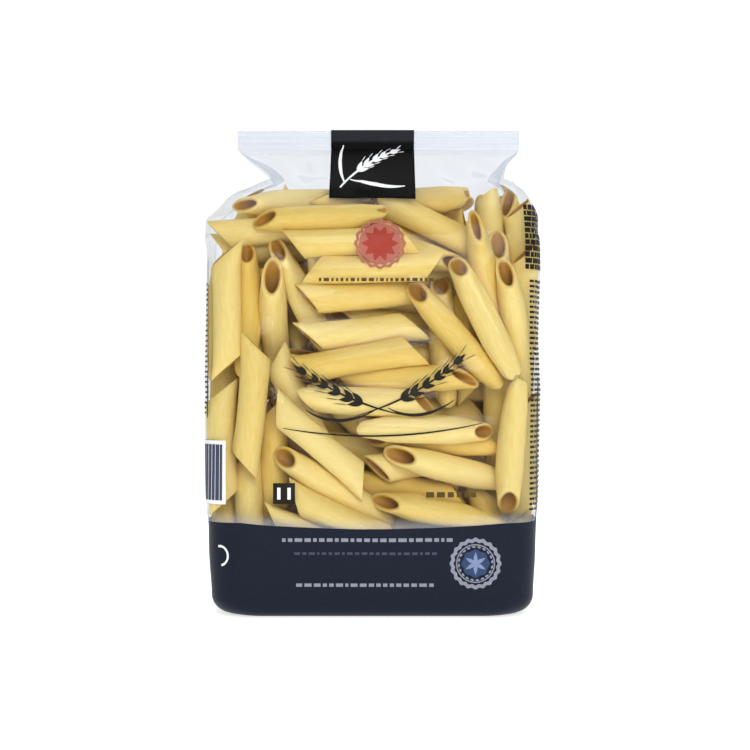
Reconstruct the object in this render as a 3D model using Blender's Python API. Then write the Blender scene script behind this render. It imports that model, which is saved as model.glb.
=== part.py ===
"""Sealed clear bag of dry penne, standing on its block bottom, with a label folded over its top seal.

The bag is one closed solid: the film's outer form, let in where the pasta shows, with the outermost
tubes of pasta fused on as relief. It is let in most under the leaning film at the top, where the
ragged top of the heap shows. Its front looks along -Y, its width runs along X, and it stands on
z = 0. Units are metres; the tables of pieces are in millimetres and degrees.
"""
import math
import random

import bmesh
import bpy
from mathutils import Matrix, Vector

MM = 0.001

# The bag's driving sizes
BAG_HEIGHT = 0.197
HALF_WIDTH = 0.0672
HALF_DEPTH = 0.0340
SIDE_CORNER = 0.0150        # radius of the upright corners, seen from above
BASE_ROUNDING = 0.0080      # radius of the edge between base and walls
BASE_TAPER = 0.0026         # how much narrower the walls are at the base than above the band
TAPER_TOP = 0.0520
BELLY = 0.0010              # how far front and back swell at half height
BAND_HEIGHT = 0.0360        # top of the printed base band

# The top: the walls close to a flat seal
SEAL_HEIGHT = 0.0080
SEAL_HALF_THICKNESS = 0.0006
SEAL_BOTTOM = BAG_HEIGHT - SEAL_HEIGHT
TENT_START = 0.1460         # where front and back begin to lean towards the seal
GUSSET_START = 0.1600
GUSSET_DEPTH = 0.0120       # how far each side folds in under the seal

# Shoulders: start height, height and reach at the neck, power of the curve, reach at the seal
LEFT_SHOULDER = {
    "start": 0.1575, "rise": 0.0180, "neck": 0.0490, "power": 1.5, "seal": 0.0560,
}
RIGHT_SHOULDER = {
    "start": 0.1660, "rise": 0.0095, "neck": 0.0600, "power": 2.0, "seal": 0.0608,
}

# The window that shows pasta: the core is let in behind the film by this much
WINDOW_INSET = 0.0088
SIDE_FADE = 0.1570          # from here up the core comes out to the film again at the two sides
SIDE_TOP = 0.1790
TENT_INSET = 0.0120         # under the leaning film in front and behind
TENT_INSET_FULL = 0.1650    # height at which it has grown to that
TENT_FADE = 0.1700          # from here up the core comes out to the film again in front and behind
TENT_TOP = 0.1850

# One tube of penne
TUBE_RADIUS = 0.0056
TUBE_WALL = 0.0015
TUBE_LENGTH = 0.0540        # from tip to tip
TUBE_SLANT = 0.85           # rise of the slanted end per unit across
TUBE_SIDES = 8
MOUTH_DEPTH = 0.0045
FILM_CLEARANCE = 0.0004     # how far the outermost tubes stay inside the film's form
LENGTH_SPREAD = 0.05
EDGE_ROOM = 0.0015          # how far a tube stays inside the widest point of the corner it lies in

# The folded label
LABEL_HALF_WIDTH = 0.0172
LABEL_BOTTOM_FRONT = 0.1665
LABEL_BOTTOM_BACK = 0.1760
LABEL_THICKNESS = 0.0004
LABEL_GAP = 0.0003
PAD_HALF_WIDTH = 0.0176     # the core keeps the film's form under the label, out to here
PAD_EDGE = 0.0220           # and is fully let in from here
PAD_RISE = 0.0050

# Tubes that show in front. Across and height of the free end, its direction in degrees from level,
# how far it dives towards the viewer, depth behind the film, roll of the slanted ends, length.
FRONT_TUBES = (
    # upright, down the left edge
    (-51, 149, 90, 5, 1, 180, 54), (-49, 112, 92, 0, 0, -90, 57), (-46, 67, 81, -3, 2, 90, 54),
    (-60, 148, 91, 0, 1, 90, 54), (-60, 95, 89, 0, 1, 100, 54), (-40, 140, 87, 30, 3, 180, 54),
    (-42, 150, 122, 8, 2, 180, 54), (-42, 106, 114, 8, 6, 90, 54), (-33, 87, 74, 0, 6, 90, 54),
    # across the top
    (-53, 160, 195, 5, 1, 180, 54), (-47, 160, 184, 0, 0, 200, 54), (-35, 148, 188, 0, 0, 90, 54),
    (39, 142, -18, 4, 1, 180, 54), (43, 145, -25, 0, 0, 90, 54), (43, 162, 92, 12, 1, 180, 54),
    (48, 151, 103, 12, 6, 180, 54), (55, 164, 96, 16, 2, 90, 54),
    # across the middle
    (33, 138, 0, 0, 0, -90, 58), (26, 129, 0, 0, 6, 90, 54), (23, 114, 4, 0, 3, 90, 54),
    (9, 125, 150, 4, 2, 180, 54), (46, 103, 21, 3, 0, 150, 54), (-30, 81, 192, 0, 0, 40, 54),
    (-32, 97, 190, 0, 1, 90, 54),
    # upright, down the right edge
    (29, 136, 95, 8, 0, 180, 54), (36, 138, 91, 5, 3, 90, 54), (44, 141, 91, 3, 0, 180, 54),
    (54, 139, 90, 8, 1, 180, 54), (54, 45, -90, 0, 0, 180, 54),
    (60, 150, 90, 0, 1, 90, 54), (60, 92, 89, 0, 1, 90, 54),
    # level stack, low on the right
    (48, 78, -5, 0, 0, 180, 54), (-3, 72, 176, 0, 5, 180, 54), (9, 61, 176, 5, 0, 180, 54),
    (43, 51, -2, 2, 5, 90, 54), (0, 43, 180, 0, 0, 180, 54),
    # slanting down, low on the left
    (-3, 51, -42, 6, 0, 90, 54), (-38, 65, 148, 3, 0, 180, 54), (-35, 50, 153, 0, 2, 90, 54),
    (-44, 42, 165, 0, 4, 90, 54),
)

# Ends that stand up through the top of the heap, and tubes that lie across it, in the same terms
TOP_TUBES = (
    (-49, 166, 75, 0, 0, 0, 54), (-36, 170, 95, 0, 2, 180, 54), (-26, 171, 82, 0, 0, 90, 54),
    (27, 172, 100, 0, 1, 0, 54), (38, 170, 112, 0, 0, 90, 54), (50, 168, 80, 0, 1, 0, 54),
    (-8, 166, 8, 0, 1, 90, 54), (42, 165, -12, 0, 2, 200, 54),
)

# Bundles of side-by-side tubes on the back and the two sides
BACK_COLUMNS = (-44, -15, 15, 44)
BACK_ROWS = (52, 84, 116, 147)
SIDE_COLUMNS = (-14, 0, 14)
SIDE_ROWS = (60, 108, 148)
BUNDLE_PITCH = 0.0126
BUNDLE_ANGLES = (0.1, 0.5, 1.4, 1.6, 2.6, 3.0)
BACK_LENGTH = 0.0480
SIDE_LENGTH = 0.0470
SEED = 11

# The heights at which the loft has a section
LEVELS_MM = (
    0, 1.0, 2.6, 5.0, 8.0, 20, 35.5, 38, 52, 75, 100, 125, 146, 152, 157.5, 161, 164.5, 168, 171,
    173.5, 175.5, 179, 183, 187, 189, 197,
)
CORNER_STEPS = 4


def clear_scene():
    """Remove every object that the file opens with."""
    for item in list(bpy.data.objects):
        bpy.data.objects.remove(item, do_unlink=True)


def make_material(name, colour, roughness, metallic=0.0):
    """A plain Principled material; colour is linear."""
    material = bpy.data.materials.new(name)
    material.use_nodes = True
    shader = material.node_tree.nodes["Principled BSDF"]
    shader.inputs["Base Color"].default_value = (*colour, 1.0)
    shader.inputs["Roughness"].default_value = roughness
    shader.inputs["Metallic"].default_value = metallic
    return material


def smooth(low, high, value):
    """Smooth step from 0 at low to 1 at high."""
    share = min(1.0, max(0.0, (value - low) / (high - low)))
    return share * share * (3.0 - 2.0 * share)


def base_inset(z):
    """How far the rounded base edge lies inside the wall at height z."""
    if z >= BASE_ROUNDING:
        return 0.0
    return BASE_ROUNDING - math.sqrt(BASE_ROUNDING ** 2 - (BASE_ROUNDING - z) ** 2)


def side_reach(z, shoulder):
    """Distance from the middle plane to the film at one side, at height z."""
    body = HALF_WIDTH - BASE_TAPER * (1.0 - smooth(0.0, TAPER_TOP, z)) - base_inset(z)
    climb = (z - shoulder["start"]) / shoulder["rise"]
    if climb <= 0.0:
        return body
    if climb < 1.0:
        power = shoulder["power"]
        share = (1.0 - climb ** power) ** (1.0 / power)
        return shoulder["neck"] + (HALF_WIDTH - shoulder["neck"]) * share
    neck_top = shoulder["start"] + shoulder["rise"]
    share = min(1.0, (z - neck_top) / (SEAL_BOTTOM - neck_top))
    return shoulder["neck"] + (shoulder["seal"] - shoulder["neck"]) * share


def half_depth(z):
    """Distance from the middle plane to the film in front, at height z."""
    if z >= SEAL_BOTTOM:
        return SEAL_HALF_THICKNESS
    swell = BELLY * math.sin(math.pi * min(1.0, z / TENT_START))
    body = HALF_DEPTH - BASE_TAPER * 0.5 * (1.0 - smooth(0.0, TAPER_TOP, z)) - base_inset(z) + swell
    if z <= TENT_START:
        return body
    share = (z - TENT_START) / (SEAL_BOTTOM - TENT_START)
    lean = math.cos(0.5 * math.pi * share)
    return SEAL_HALF_THICKNESS + (HALF_DEPTH - SEAL_HALF_THICKNESS) * lean


def gusset(z):
    """How far the middle of each side is folded in at height z."""
    if z <= GUSSET_START or z >= SEAL_BOTTOM:
        return 0.0
    return GUSSET_DEPTH * math.sin(math.pi * (z - GUSSET_START) / (SEAL_BOTTOM - GUSSET_START))


def side_inset(z):
    """How far the core lies behind the film at the two sides, at height z."""
    if z < BAND_HEIGHT:
        return 0.0
    return WINDOW_INSET * (1.0 - smooth(SIDE_FADE, SIDE_TOP, z))


def front_inset(z):
    """How far the core lies behind the film in front and behind, at height z."""
    if z < BAND_HEIGHT:
        return 0.0
    grown = WINDOW_INSET + (TENT_INSET - WINDOW_INSET) * smooth(TENT_START, TENT_INSET_FULL, z)
    return grown * (1.0 - smooth(TENT_FADE, TENT_TOP, z))


def pad(z, side_y):
    """How much of the inset the label's pad takes back at height z, in front (-1) or behind (1)."""
    top = LABEL_BOTTOM_FRONT if side_y < 0 else LABEL_BOTTOM_BACK
    return smooth(top - PAD_RISE, top - MM, z)


def section(z):
    """Closed ring of points at height z: a rounded rectangle with its side middles tucked in."""
    inset = side_inset(z)
    depth = half_depth(z) - front_inset(z)
    corner = min(SIDE_CORNER - 0.5 * inset, 0.96 * depth)
    reaches = {1: side_reach(z, RIGHT_SHOULDER) - inset, -1: side_reach(z, LEFT_SHOULDER) - inset}
    ring = []
    for side_x, side_y, start in ((1, 1, 0.0), (-1, 1, 0.5), (-1, -1, 1.0), (1, -1, 1.5)):
        centre_x = side_x * (reaches[side_x] - corner)
        centre_y = side_y * (depth - corner)
        for step in range(CORNER_STEPS + 1):
            angle = math.pi * (start + 0.5 * step / CORNER_STEPS)
            arc = Vector((math.cos(angle), math.sin(angle), 0.0)) * corner
            ring.append(Vector((centre_x, centre_y, z)) + arc)
        if side_x * side_y > 0:
            raised = depth + front_inset(z) * pad(z, side_y)
            for x, y in ((PAD_EDGE, depth), (PAD_HALF_WIDTH, raised)):
                ring.append(Vector((side_x * x, side_y * y, z)))
            for x, y in ((PAD_HALF_WIDTH, raised), (PAD_EDGE, depth)):
                ring.append(Vector((-side_x * x, side_y * y, z)))
        else:
            ring.append(Vector((side_x * (reaches[side_x] - gusset(z)), 0.0, z)))
    return ring


def loft(name, rings):
    """Closed solid through rings of equal length, the first at the bottom and the last on top."""
    bm = bmesh.new()
    rows = [[bm.verts.new(point) for point in ring] for ring in rings]
    count = len(rows[0])
    for lower, upper in zip(rows, rows[1:]):
        for i in range(count):
            j = (i + 1) % count
            bm.faces.new((lower[i], lower[j], upper[j], upper[i]))
    bm.faces.new(list(reversed(rows[0])))
    bm.faces.new(rows[-1])
    bmesh.ops.triangulate(bm, faces=bm.faces[:])
    mesh = bpy.data.meshes.new(name)
    bm.to_mesh(mesh)
    bm.free()
    return bpy.data.objects.new(name, mesh)


def tube_mesh(name, length):
    """One tube of penne along Z, of the given length from tip to tip.

    Both ends are cut on the same slant, and each has a blind mouth.
    """
    bm = bmesh.new()
    bmesh.ops.create_cone(
        bm, cap_ends=True, segments=TUBE_SIDES, radius1=TUBE_RADIUS, radius2=TUBE_RADIUS,
        depth=length - 2.0 * TUBE_SLANT * TUBE_RADIUS,
    )
    for end in (1, -1):
        cap = max(bm.faces, key=lambda face: end * face.calc_center_median().z)
        bmesh.ops.inset_individual(bm, faces=[cap], thickness=TUBE_WALL, use_even_offset=True)
        floor = bmesh.ops.extrude_discrete_faces(bm, faces=[cap])["faces"][0]
        for vertex in floor.verts:
            vertex.co.z -= end * MOUTH_DEPTH
    for vertex in bm.verts:
        vertex.co.z += TUBE_SLANT * vertex.co.x
    bmesh.ops.recalc_face_normals(bm, faces=bm.faces[:])
    mesh = bpy.data.meshes.new(name)
    bm.to_mesh(mesh)
    bm.free()
    return mesh


def film_depth(x, z):
    """Distance from the middle plane to the film in front of or behind the point (x, z)."""
    reach = side_reach(z, RIGHT_SHOULDER if x > 0 else LEFT_SHOULDER)
    corner = min(SIDE_CORNER, 0.96 * half_depth(z))
    over = min(corner, max(0.0, abs(x) - (reach - corner)))
    return half_depth(z) - corner + math.sqrt(corner ** 2 - over ** 2)


def film_reach(side, y, z):
    """Distance from the middle plane to the film beside the point (y, z), to the right if side is 1."""
    corner = min(SIDE_CORNER, 0.96 * half_depth(z))
    over = min(corner, max(0.0, abs(y) - (half_depth(z) - corner)))
    reach = side_reach(z, RIGHT_SHOULDER if side > 0 else LEFT_SHOULDER)
    return reach - corner + math.sqrt(corner ** 2 - over ** 2)


def settle(item, outward, sunk):
    """Push a tube outward until it touches the film, then back by sunk and the film's clearance.

    A tube that reaches past the film at one side is first brought in along X.
    """
    if outward.y:
        points = [item.matrix_world @ vertex.co for vertex in item.data.vertices]
        excess = max(abs(point.x) - film_reach(math.copysign(1, point.x), 0.0, point.z) for point in points)
        side = math.copysign(1, item.matrix_world.translation.x)
        item.matrix_world.translation.x -= side * max(0.0, excess + EDGE_ROOM)
    points = [item.matrix_world @ vertex.co for vertex in item.data.vertices]
    if outward.y:
        room = min(film_depth(point.x, point.z) - outward.y * point.y for point in points)
    else:
        room = min(film_reach(outward.x, point.y, point.z) - outward.x * point.x for point in points)
    item.matrix_world.translation += outward * (room - sunk - FILM_CLEARANCE)


def lay_tube(name, length, centre, direction, outward, roll, sunk=0.0):
    """Place one tube: its axis along direction, its long tip turned by roll from outward."""
    side = direction.cross(outward).normalized()
    tip = outward * math.cos(roll) + side * math.sin(roll)
    across = direction.cross(tip).normalized()
    item = bpy.data.objects.new(name, tube_mesh(name, length))
    turn = Matrix((tip, across, direction)).transposed()
    item.matrix_world = Matrix.Translation(centre) @ turn.to_4x4()
    settle(item, outward, sunk)
    return item


def table_tubes(name, table, outward):
    """The tubes of a table, in front or behind; behind, the table is read from the other side."""
    items = []
    for number, (across, height, turn, dive, sunk, roll, length) in enumerate(table):
        turn, dive, roll = math.radians(turn), math.radians(dive), math.radians(roll)
        direction = Vector((math.cos(turn) * math.cos(dive), 0.0, math.sin(turn) * math.cos(dive)))
        direction.x *= -outward.y
        direction += outward * math.sin(dive)
        end = Vector((-outward.y * across, 0.0, height)) * MM
        centre = end - direction * 0.5 * length * MM
        title = f"{name}_{number}"
        tube = lay_tube(title, length * MM, centre, direction, outward, roll, sunk * MM)
        items.append(tube)
    return items


def back_tubes(draw):
    """Bundles of parallel tubes all over the back, each bundle turned its own way."""
    items = []
    outward = Vector((0.0, 1.0, 0.0))
    for column in BACK_COLUMNS:
        for row in BACK_ROWS:
            angle = draw.choice(BUNDLE_ANGLES) + draw.uniform(-0.15, 0.15)
            direction = Vector((math.cos(angle), 0.0, math.sin(angle)))
            beside = direction.cross(outward)
            for place in (-0.5, 0.5):
                centre = Vector((column, 0.0, row)) * MM + beside * place * BUNDLE_PITCH
                length = BACK_LENGTH * (1.0 + draw.uniform(-LENGTH_SPREAD, LENGTH_SPREAD))
                roll, sunk = draw.uniform(0.0, math.pi), draw.uniform(0.0, 1.5) * MM
                name = f"back_{column}_{row}_{place}"
                tube = lay_tube(name, length, centre, direction, outward, roll, sunk)
                items.append(tube)
    return items


def side_tubes(draw):
    """Upright tubes side by side on each side panel."""
    items = []
    for side in (-1, 1):
        for column in SIDE_COLUMNS:
            for row in SIDE_ROWS:
                angle = math.radians(90 + draw.uniform(-14, 14))
                direction = Vector((0.0, math.cos(angle), math.sin(angle)))
                centre = Vector((0.0, column, row + draw.uniform(-4, 4))) * MM
                length = SIDE_LENGTH * (1.0 + draw.uniform(-LENGTH_SPREAD, LENGTH_SPREAD))
                roll, sunk = draw.uniform(0.0, math.pi), draw.uniform(0.0, 1.5) * MM
                outward = Vector((side, 0.0, 0.0))
                name = f"side_{side}_{column}_{row}"
                tube = lay_tube(name, length, centre, direction, outward, roll, sunk)
                items.append(tube)
    return items


def build_bag(collection):
    """The film's form with its window let in and the outermost tubes fused on."""
    draw = random.Random(SEED)
    bag = loft("bag", [section(level * MM) for level in LEVELS_MM])
    collection.objects.link(bag)
    pieces = bpy.data.collections.new("outer tubes")
    bpy.context.scene.collection.children.link(pieces)
    front, back = Vector((0.0, -1.0, 0.0)), Vector((0.0, 1.0, 0.0))
    items = table_tubes("front", FRONT_TUBES, front)
    items += table_tubes("front_top", TOP_TUBES, front) + table_tubes("back_top", TOP_TUBES, back)
    items += back_tubes(draw) + side_tubes(draw)
    for item in items:
        pieces.objects.link(item)
    fuse = bag.modifiers.new("fuse tubes", "BOOLEAN")
    fuse.operation = "UNION"
    fuse.operand_type = "COLLECTION"
    fuse.collection = pieces
    fuse.solver = "EXACT"
    bpy.context.view_layer.update()
    graph = bpy.context.evaluated_depsgraph_get()
    fused = bpy.data.meshes.new_from_object(bag.evaluated_get(graph))
    bag.modifiers.clear()
    bag.data = fused
    for item in list(pieces.objects):
        bpy.data.objects.remove(item, do_unlink=True)
    bpy.data.collections.remove(pieces)
    keep_largest_shell(bag.data)
    return bag


def keep_largest_shell(mesh):
    """Drop sealed hollows and loose scraps: only the shell with the most vertices stays."""
    bm = bmesh.new()
    bm.from_mesh(mesh)
    unseen = set(bm.verts)
    shells = []
    while unseen:
        shell, edge = set(), [unseen.pop()]
        while edge:
            vertex = edge.pop()
            shell.add(vertex)
            for link in vertex.link_edges:
                other = link.other_vert(vertex)
                if other in unseen:
                    unseen.remove(other)
                    edge.append(other)
        shells.append(shell)
    largest = max(shells, key=len)
    extra = [vertex for shell in shells if shell is not largest for vertex in shell]
    bmesh.ops.delete(bm, geom=extra, context="VERTS")
    bmesh.ops.dissolve_degenerate(bm, dist=1e-6, edges=bm.edges[:])
    bmesh.ops.triangulate(bm, faces=bm.faces[:])
    bm.to_mesh(mesh)
    bm.free()


def label_path(gap):
    """The label's course in the YZ plane, gap outside the bag: front edge, seal, back edge."""
    seal = SEAL_HALF_THICKNESS + gap
    levels = [level * MM for level in LEVELS_MM if level * MM < SEAL_BOTTOM]
    front = [LABEL_BOTTOM_FRONT] + [level for level in levels if level > LABEL_BOTTOM_FRONT]
    back = [LABEL_BOTTOM_BACK] + [level for level in levels if level > LABEL_BOTTOM_BACK]

    def outside(z, side):
        """The point gap outside the leaning film at height z."""
        slope = (half_depth(z + MM) - half_depth(z - MM)) / (2 * MM)
        length = math.hypot(1.0, slope)
        return Vector((0.0, side * (half_depth(z) + gap / length), z - gap * slope / length))

    path = [outside(z, -1) for z in front]
    path += [Vector((0.0, -seal, SEAL_BOTTOM)), Vector((0.0, -seal, BAG_HEIGHT + gap))]
    path += [Vector((0.0, seal, BAG_HEIGHT + gap)), Vector((0.0, seal, SEAL_BOTTOM))]
    path += [outside(z, 1) for z in reversed(back)]
    return path


def build_label(collection):
    """A strip of coated paper folded over the seal, lying on the leaning film in front and behind."""
    inner = label_path(LABEL_GAP)
    outer = label_path(LABEL_GAP + LABEL_THICKNESS)
    bm = bmesh.new()
    rows = []
    for x in (-LABEL_HALF_WIDTH, LABEL_HALF_WIDTH):
        offset = Vector((x, 0, 0))
        rows.append([bm.verts.new(point + offset) for point in outer + list(reversed(inner))])
    count = len(rows[0])
    for i in range(count):
        j = (i + 1) % count
        bm.faces.new((rows[0][i], rows[0][j], rows[1][j], rows[1][i]))
    last = len(inner) - 1
    for row in rows:
        for i in range(last):
            bm.faces.new((row[i], row[i + 1], row[count - 2 - i], row[count - 1 - i]))
    bmesh.ops.recalc_face_normals(bm, faces=bm.faces[:])
    mesh = bpy.data.meshes.new("closure_label")
    bm.to_mesh(mesh)
    bm.free()
    label = bpy.data.objects.new("closure_label", mesh)
    collection.objects.link(label)
    return label


def main():
    """Build both pieces into one collection."""
    clear_scene()
    collection = bpy.data.collections.new("penne bag")
    bpy.context.scene.collection.children.link(collection)
    bag = build_bag(collection)
    bag.data.materials.clear()
    bag.data.materials.append(make_material("dry durum pasta", (0.80, 0.58, 0.20), 0.5))
    label = build_label(collection)
    label.data.materials.append(make_material("black coated paper", (0.008, 0.009, 0.011), 0.4))


main()
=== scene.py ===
"""Looks of a sealed clear bag of dry penne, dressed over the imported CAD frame.

The clear film, the loose tubes inside it, the ink printed on the film and the folded label are each
made here as surfaces worked out with numpy. Lengths are metres unless a name or docstring says
otherwise.
"""
import logging
import math
from abc import ABC, abstractmethod
from dataclasses import dataclass
from enum import Enum

import bpy
import numpy as np
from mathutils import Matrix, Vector


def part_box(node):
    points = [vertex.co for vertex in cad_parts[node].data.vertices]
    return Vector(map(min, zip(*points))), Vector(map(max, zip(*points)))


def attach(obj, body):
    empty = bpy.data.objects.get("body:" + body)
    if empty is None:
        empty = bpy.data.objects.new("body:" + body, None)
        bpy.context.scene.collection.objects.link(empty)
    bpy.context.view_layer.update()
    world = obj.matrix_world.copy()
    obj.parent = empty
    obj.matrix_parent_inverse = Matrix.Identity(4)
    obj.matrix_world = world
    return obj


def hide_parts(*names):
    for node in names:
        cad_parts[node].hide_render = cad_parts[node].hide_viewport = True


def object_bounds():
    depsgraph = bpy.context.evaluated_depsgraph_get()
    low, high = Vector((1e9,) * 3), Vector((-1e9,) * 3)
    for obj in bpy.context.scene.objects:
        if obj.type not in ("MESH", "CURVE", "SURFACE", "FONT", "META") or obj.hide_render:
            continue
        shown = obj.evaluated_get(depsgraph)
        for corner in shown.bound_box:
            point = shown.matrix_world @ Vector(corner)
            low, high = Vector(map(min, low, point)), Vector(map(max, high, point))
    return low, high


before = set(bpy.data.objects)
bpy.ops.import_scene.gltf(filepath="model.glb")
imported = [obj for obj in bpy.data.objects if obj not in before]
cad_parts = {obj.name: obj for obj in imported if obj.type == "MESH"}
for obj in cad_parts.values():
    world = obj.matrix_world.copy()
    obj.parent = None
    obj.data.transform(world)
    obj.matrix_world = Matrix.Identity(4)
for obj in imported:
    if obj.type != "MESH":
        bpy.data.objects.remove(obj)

LOG = logging.getLogger("penne_bag")
MM = 0.001
CAD_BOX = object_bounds()
FULL_TURN = 2.0 * math.pi

Array = np.ndarray


class Slot(Enum):
    """The record's material slots."""

    PASTA = "film_and_pasta"
    FILM = "clear_film"
    PRINT = "base_print"
    PAPER = "label_paper"


class Node(Enum):
    """The CAD nodes that the pieces stand for."""

    BAG = "bag"
    LABEL = "closure_label"


def mm(*sizes: float) -> tuple[float, ...]:
    """Turn millimetres into metres."""
    return tuple(size * MM for size in sizes)


def linear(hex_colour: str) -> tuple[float, float, float, float]:
    """Turn an sRGB hex colour into linear light with full alpha.

    Args:
        hex_colour: six hex digits.

    Returns:
        Red, green, blue and alpha as a shader socket takes them.
    """
    parts = [int(hex_colour[i:i + 2], 16) / 255.0 for i in (0, 2, 4)]
    red, green, blue = (c / 12.92 if c <= 0.04045 else ((c + 0.055) / 1.055) ** 2.4 for c in parts)
    return red, green, blue, 1.0


def add_node(
    tree: bpy.types.NodeTree, kind: str, settings: dict | None = None, inputs: dict | None = None
) -> bpy.types.Node:
    """Add a shader node, set its properties, and fill or link its inputs.

    Args:
        tree: the node tree of a material or of the world.
        kind: the node's type name, such as ShaderNodeMix.
        settings: property names and their values.
        inputs: input names or numbers, each with a value or with the socket to link from.

    Returns:
        The new node.
    """
    node = tree.nodes.new(kind)
    for name, value in (settings or {}).items():
        setattr(node, name, value)
    for name, value in (inputs or {}).items():
        if isinstance(value, bpy.types.NodeSocket):
            tree.links.new(value, node.inputs[name])
        else:
            node.inputs[name].default_value = value
    return node


def attribute(tree: bpy.types.NodeTree, name: str) -> bpy.types.Node:
    """Add a node that reads one of the mesh's attributes."""
    return add_node(tree, "ShaderNodeAttribute", {"attribute_name": name})


def grains(tree: bpy.types.NodeTree, size: float) -> bpy.types.Node:
    """Add a noise with grains of a given size, which is fixed to the piece."""
    place = add_node(tree, "ShaderNodeTexCoord")
    return add_node(tree, "ShaderNodeTexNoise",
                    inputs={"Vector": place.outputs["Object"], "Scale": 1.0 / size})


def blend(
    tree: bpy.types.NodeTree, share: bpy.types.NodeSocket, first: object, second: object
) -> bpy.types.NodeSocket:
    """Add a mix of two colours and return its colour.

    Args:
        tree: the node tree.
        share: how much of the second colour shows.
        first: a socket or a linear colour.
        second: a socket or a linear colour.

    Returns:
        The socket of the mixed colour.
    """
    inputs = {"Factor": share, 6: first, 7: second}
    return add_node(tree, "ShaderNodeMix", {"data_type": "RGBA"}, inputs).outputs[2]


def smooth(low: float, high: float, value: Array) -> Array:
    """Smooth step from 0 at low to 1 at high: 3q^2 - 2q^3 of the share q of the way."""
    share = np.clip((np.asarray(value, float) - low) / (high - low), 0.0, 1.0)
    return share * share * (3.0 - 2.0 * share)


class Finish(ABC):
    """A material for one kind of surface."""

    name: str

    @abstractmethod
    def paint(self, tree: bpy.types.NodeTree) -> bpy.types.Node:
        """Add the finish's nodes to an empty tree and return its last shader."""

    def build(self) -> bpy.types.Material:
        """Make the material: the finish's shader goes to a fresh output."""
        material = bpy.data.materials.new(self.name)
        material.use_nodes = True
        tree = material.node_tree
        tree.nodes.clear()
        shader = self.paint(tree)
        add_node(tree, "ShaderNodeOutputMaterial", inputs={"Surface": shader.outputs[0]})
        return material


@dataclass(frozen=True)
class DriedPasta(Finish):
    """Durum wheat dough, pressed through a die and dried.

    It gives the eye a matt pale gold with fine lengthwise die lines and a few bran specks, a tone
    of its own for each tube, and a deeper amber in the bore, where light bounces between walls.
    """

    name: str = "dried durum wheat"
    pale: str = "f1d88a"
    gold: str = "e1be58"
    amber: str = "b07c1e"
    bran: str = "b98a45"
    roughness: float = 0.52
    gloss: float = 0.35
    line_waves: float = 5.0
    line_contrast: float = 0.9
    speck_size: float = 1.1 * MM
    speck_from: float = 0.70
    speck_full: float = 0.80
    speck_share: float = 0.45
    relief: float = 0.06 * MM
    relief_strength: float = 0.5
    glow: float = 0.3
    glow_depth: float = 2.4 * MM
    glow_tint: tuple[float, float, float] = (1.0, 0.62, 0.22)

    def paint(self, tree: bpy.types.NodeTree) -> bpy.types.Node:
        """Mix the yellows by tube and streak, tint the bore, and add specks and die lines."""
        lines = add_node(tree, "ShaderNodeTexNoise", inputs={
            "Vector": attribute(tree, "streak").outputs["Vector"], "Scale": self.line_waves,
        })
        streak = add_node(tree, "ShaderNodeMath", {"operation": "MULTIPLY_ADD"}, {
            0: lines.outputs["Fac"], 1: self.line_contrast, 2: -0.5 * self.line_contrast,
        })
        share = add_node(tree, "ShaderNodeMath", {"operation": "ADD", "use_clamp": True},
                         {0: streak.outputs[0], 1: attribute(tree, "tone").outputs["Fac"]})
        speck = add_node(tree, "ShaderNodeMapRange", inputs={
            "Value": grains(tree, self.speck_size).outputs["Fac"],
            "From Min": self.speck_from, "From Max": self.speck_full, "To Max": self.speck_share,
        })
        body = blend(tree, share.outputs[0], linear(self.gold), linear(self.pale))
        inner = blend(tree, attribute(tree, "bore").outputs["Fac"], body, linear(self.amber))
        colour = blend(tree, speck.outputs[0], inner, linear(self.bran))
        bump = add_node(tree, "ShaderNodeBump", inputs={
            "Height": lines.outputs["Fac"], "Strength": self.relief_strength, "Distance": self.relief,
        })
        return add_node(tree, "ShaderNodeBsdfPrincipled", inputs={
            "Base Color": colour, "Roughness": self.roughness, "Normal": bump.outputs[0],
            "Specular IOR Level": self.gloss, "Subsurface Weight": self.glow,
            "Subsurface Radius": self.glow_tint, "Subsurface Scale": self.glow_depth,
        })


@dataclass(frozen=True)
class ClearFilm(Finish):
    """Stretched polypropylene film: clear and glossy, and hazier towards the weld and the band.

    The haze attribute is the share that scatters light. The gloss grows towards a glancing view
    by the fifth power rule, alike from outside and inside, as for so thin a wall.
    """

    name: str = "clear polypropylene film"
    tint: str = "f3f5f8"
    veil: str = "d5dbe6"
    roughness: float = 0.06
    straight_gloss: float = 0.012
    glancing_gloss: float = 0.75
    glancing_power: float = 5.0

    def paint(self, tree: bpy.types.NodeTree) -> bpy.types.Node:
        """Mix clear, veil and gloss."""
        haze = attribute(tree, "haze")
        clear = add_node(tree, "ShaderNodeBsdfTransparent", inputs={"Color": linear(self.tint)})
        veil = add_node(tree, "ShaderNodeBsdfDiffuse", inputs={"Color": linear(self.veil)})
        soft = add_node(tree, "ShaderNodeMixShader",
                        inputs={0: haze.outputs["Fac"], 1: clear.outputs[0], 2: veil.outputs[0]})
        facing = add_node(tree, "ShaderNodeLayerWeight", inputs={"Blend": 0.5})
        steep = add_node(tree, "ShaderNodeMath", {"operation": "POWER"},
                         {0: facing.outputs["Facing"], 1: self.glancing_power})
        share = add_node(tree, "ShaderNodeMath", {"operation": "MULTIPLY_ADD"},
                         {0: steep.outputs[0], 1: self.glancing_gloss, 2: self.straight_gloss})
        gloss = add_node(tree, "ShaderNodeBsdfAnisotropic", inputs={"Roughness": self.roughness})
        return add_node(tree, "ShaderNodeMixShader",
                        inputs={0: share.outputs[0], 1: soft.outputs[0], 2: gloss.outputs[0]})


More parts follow.
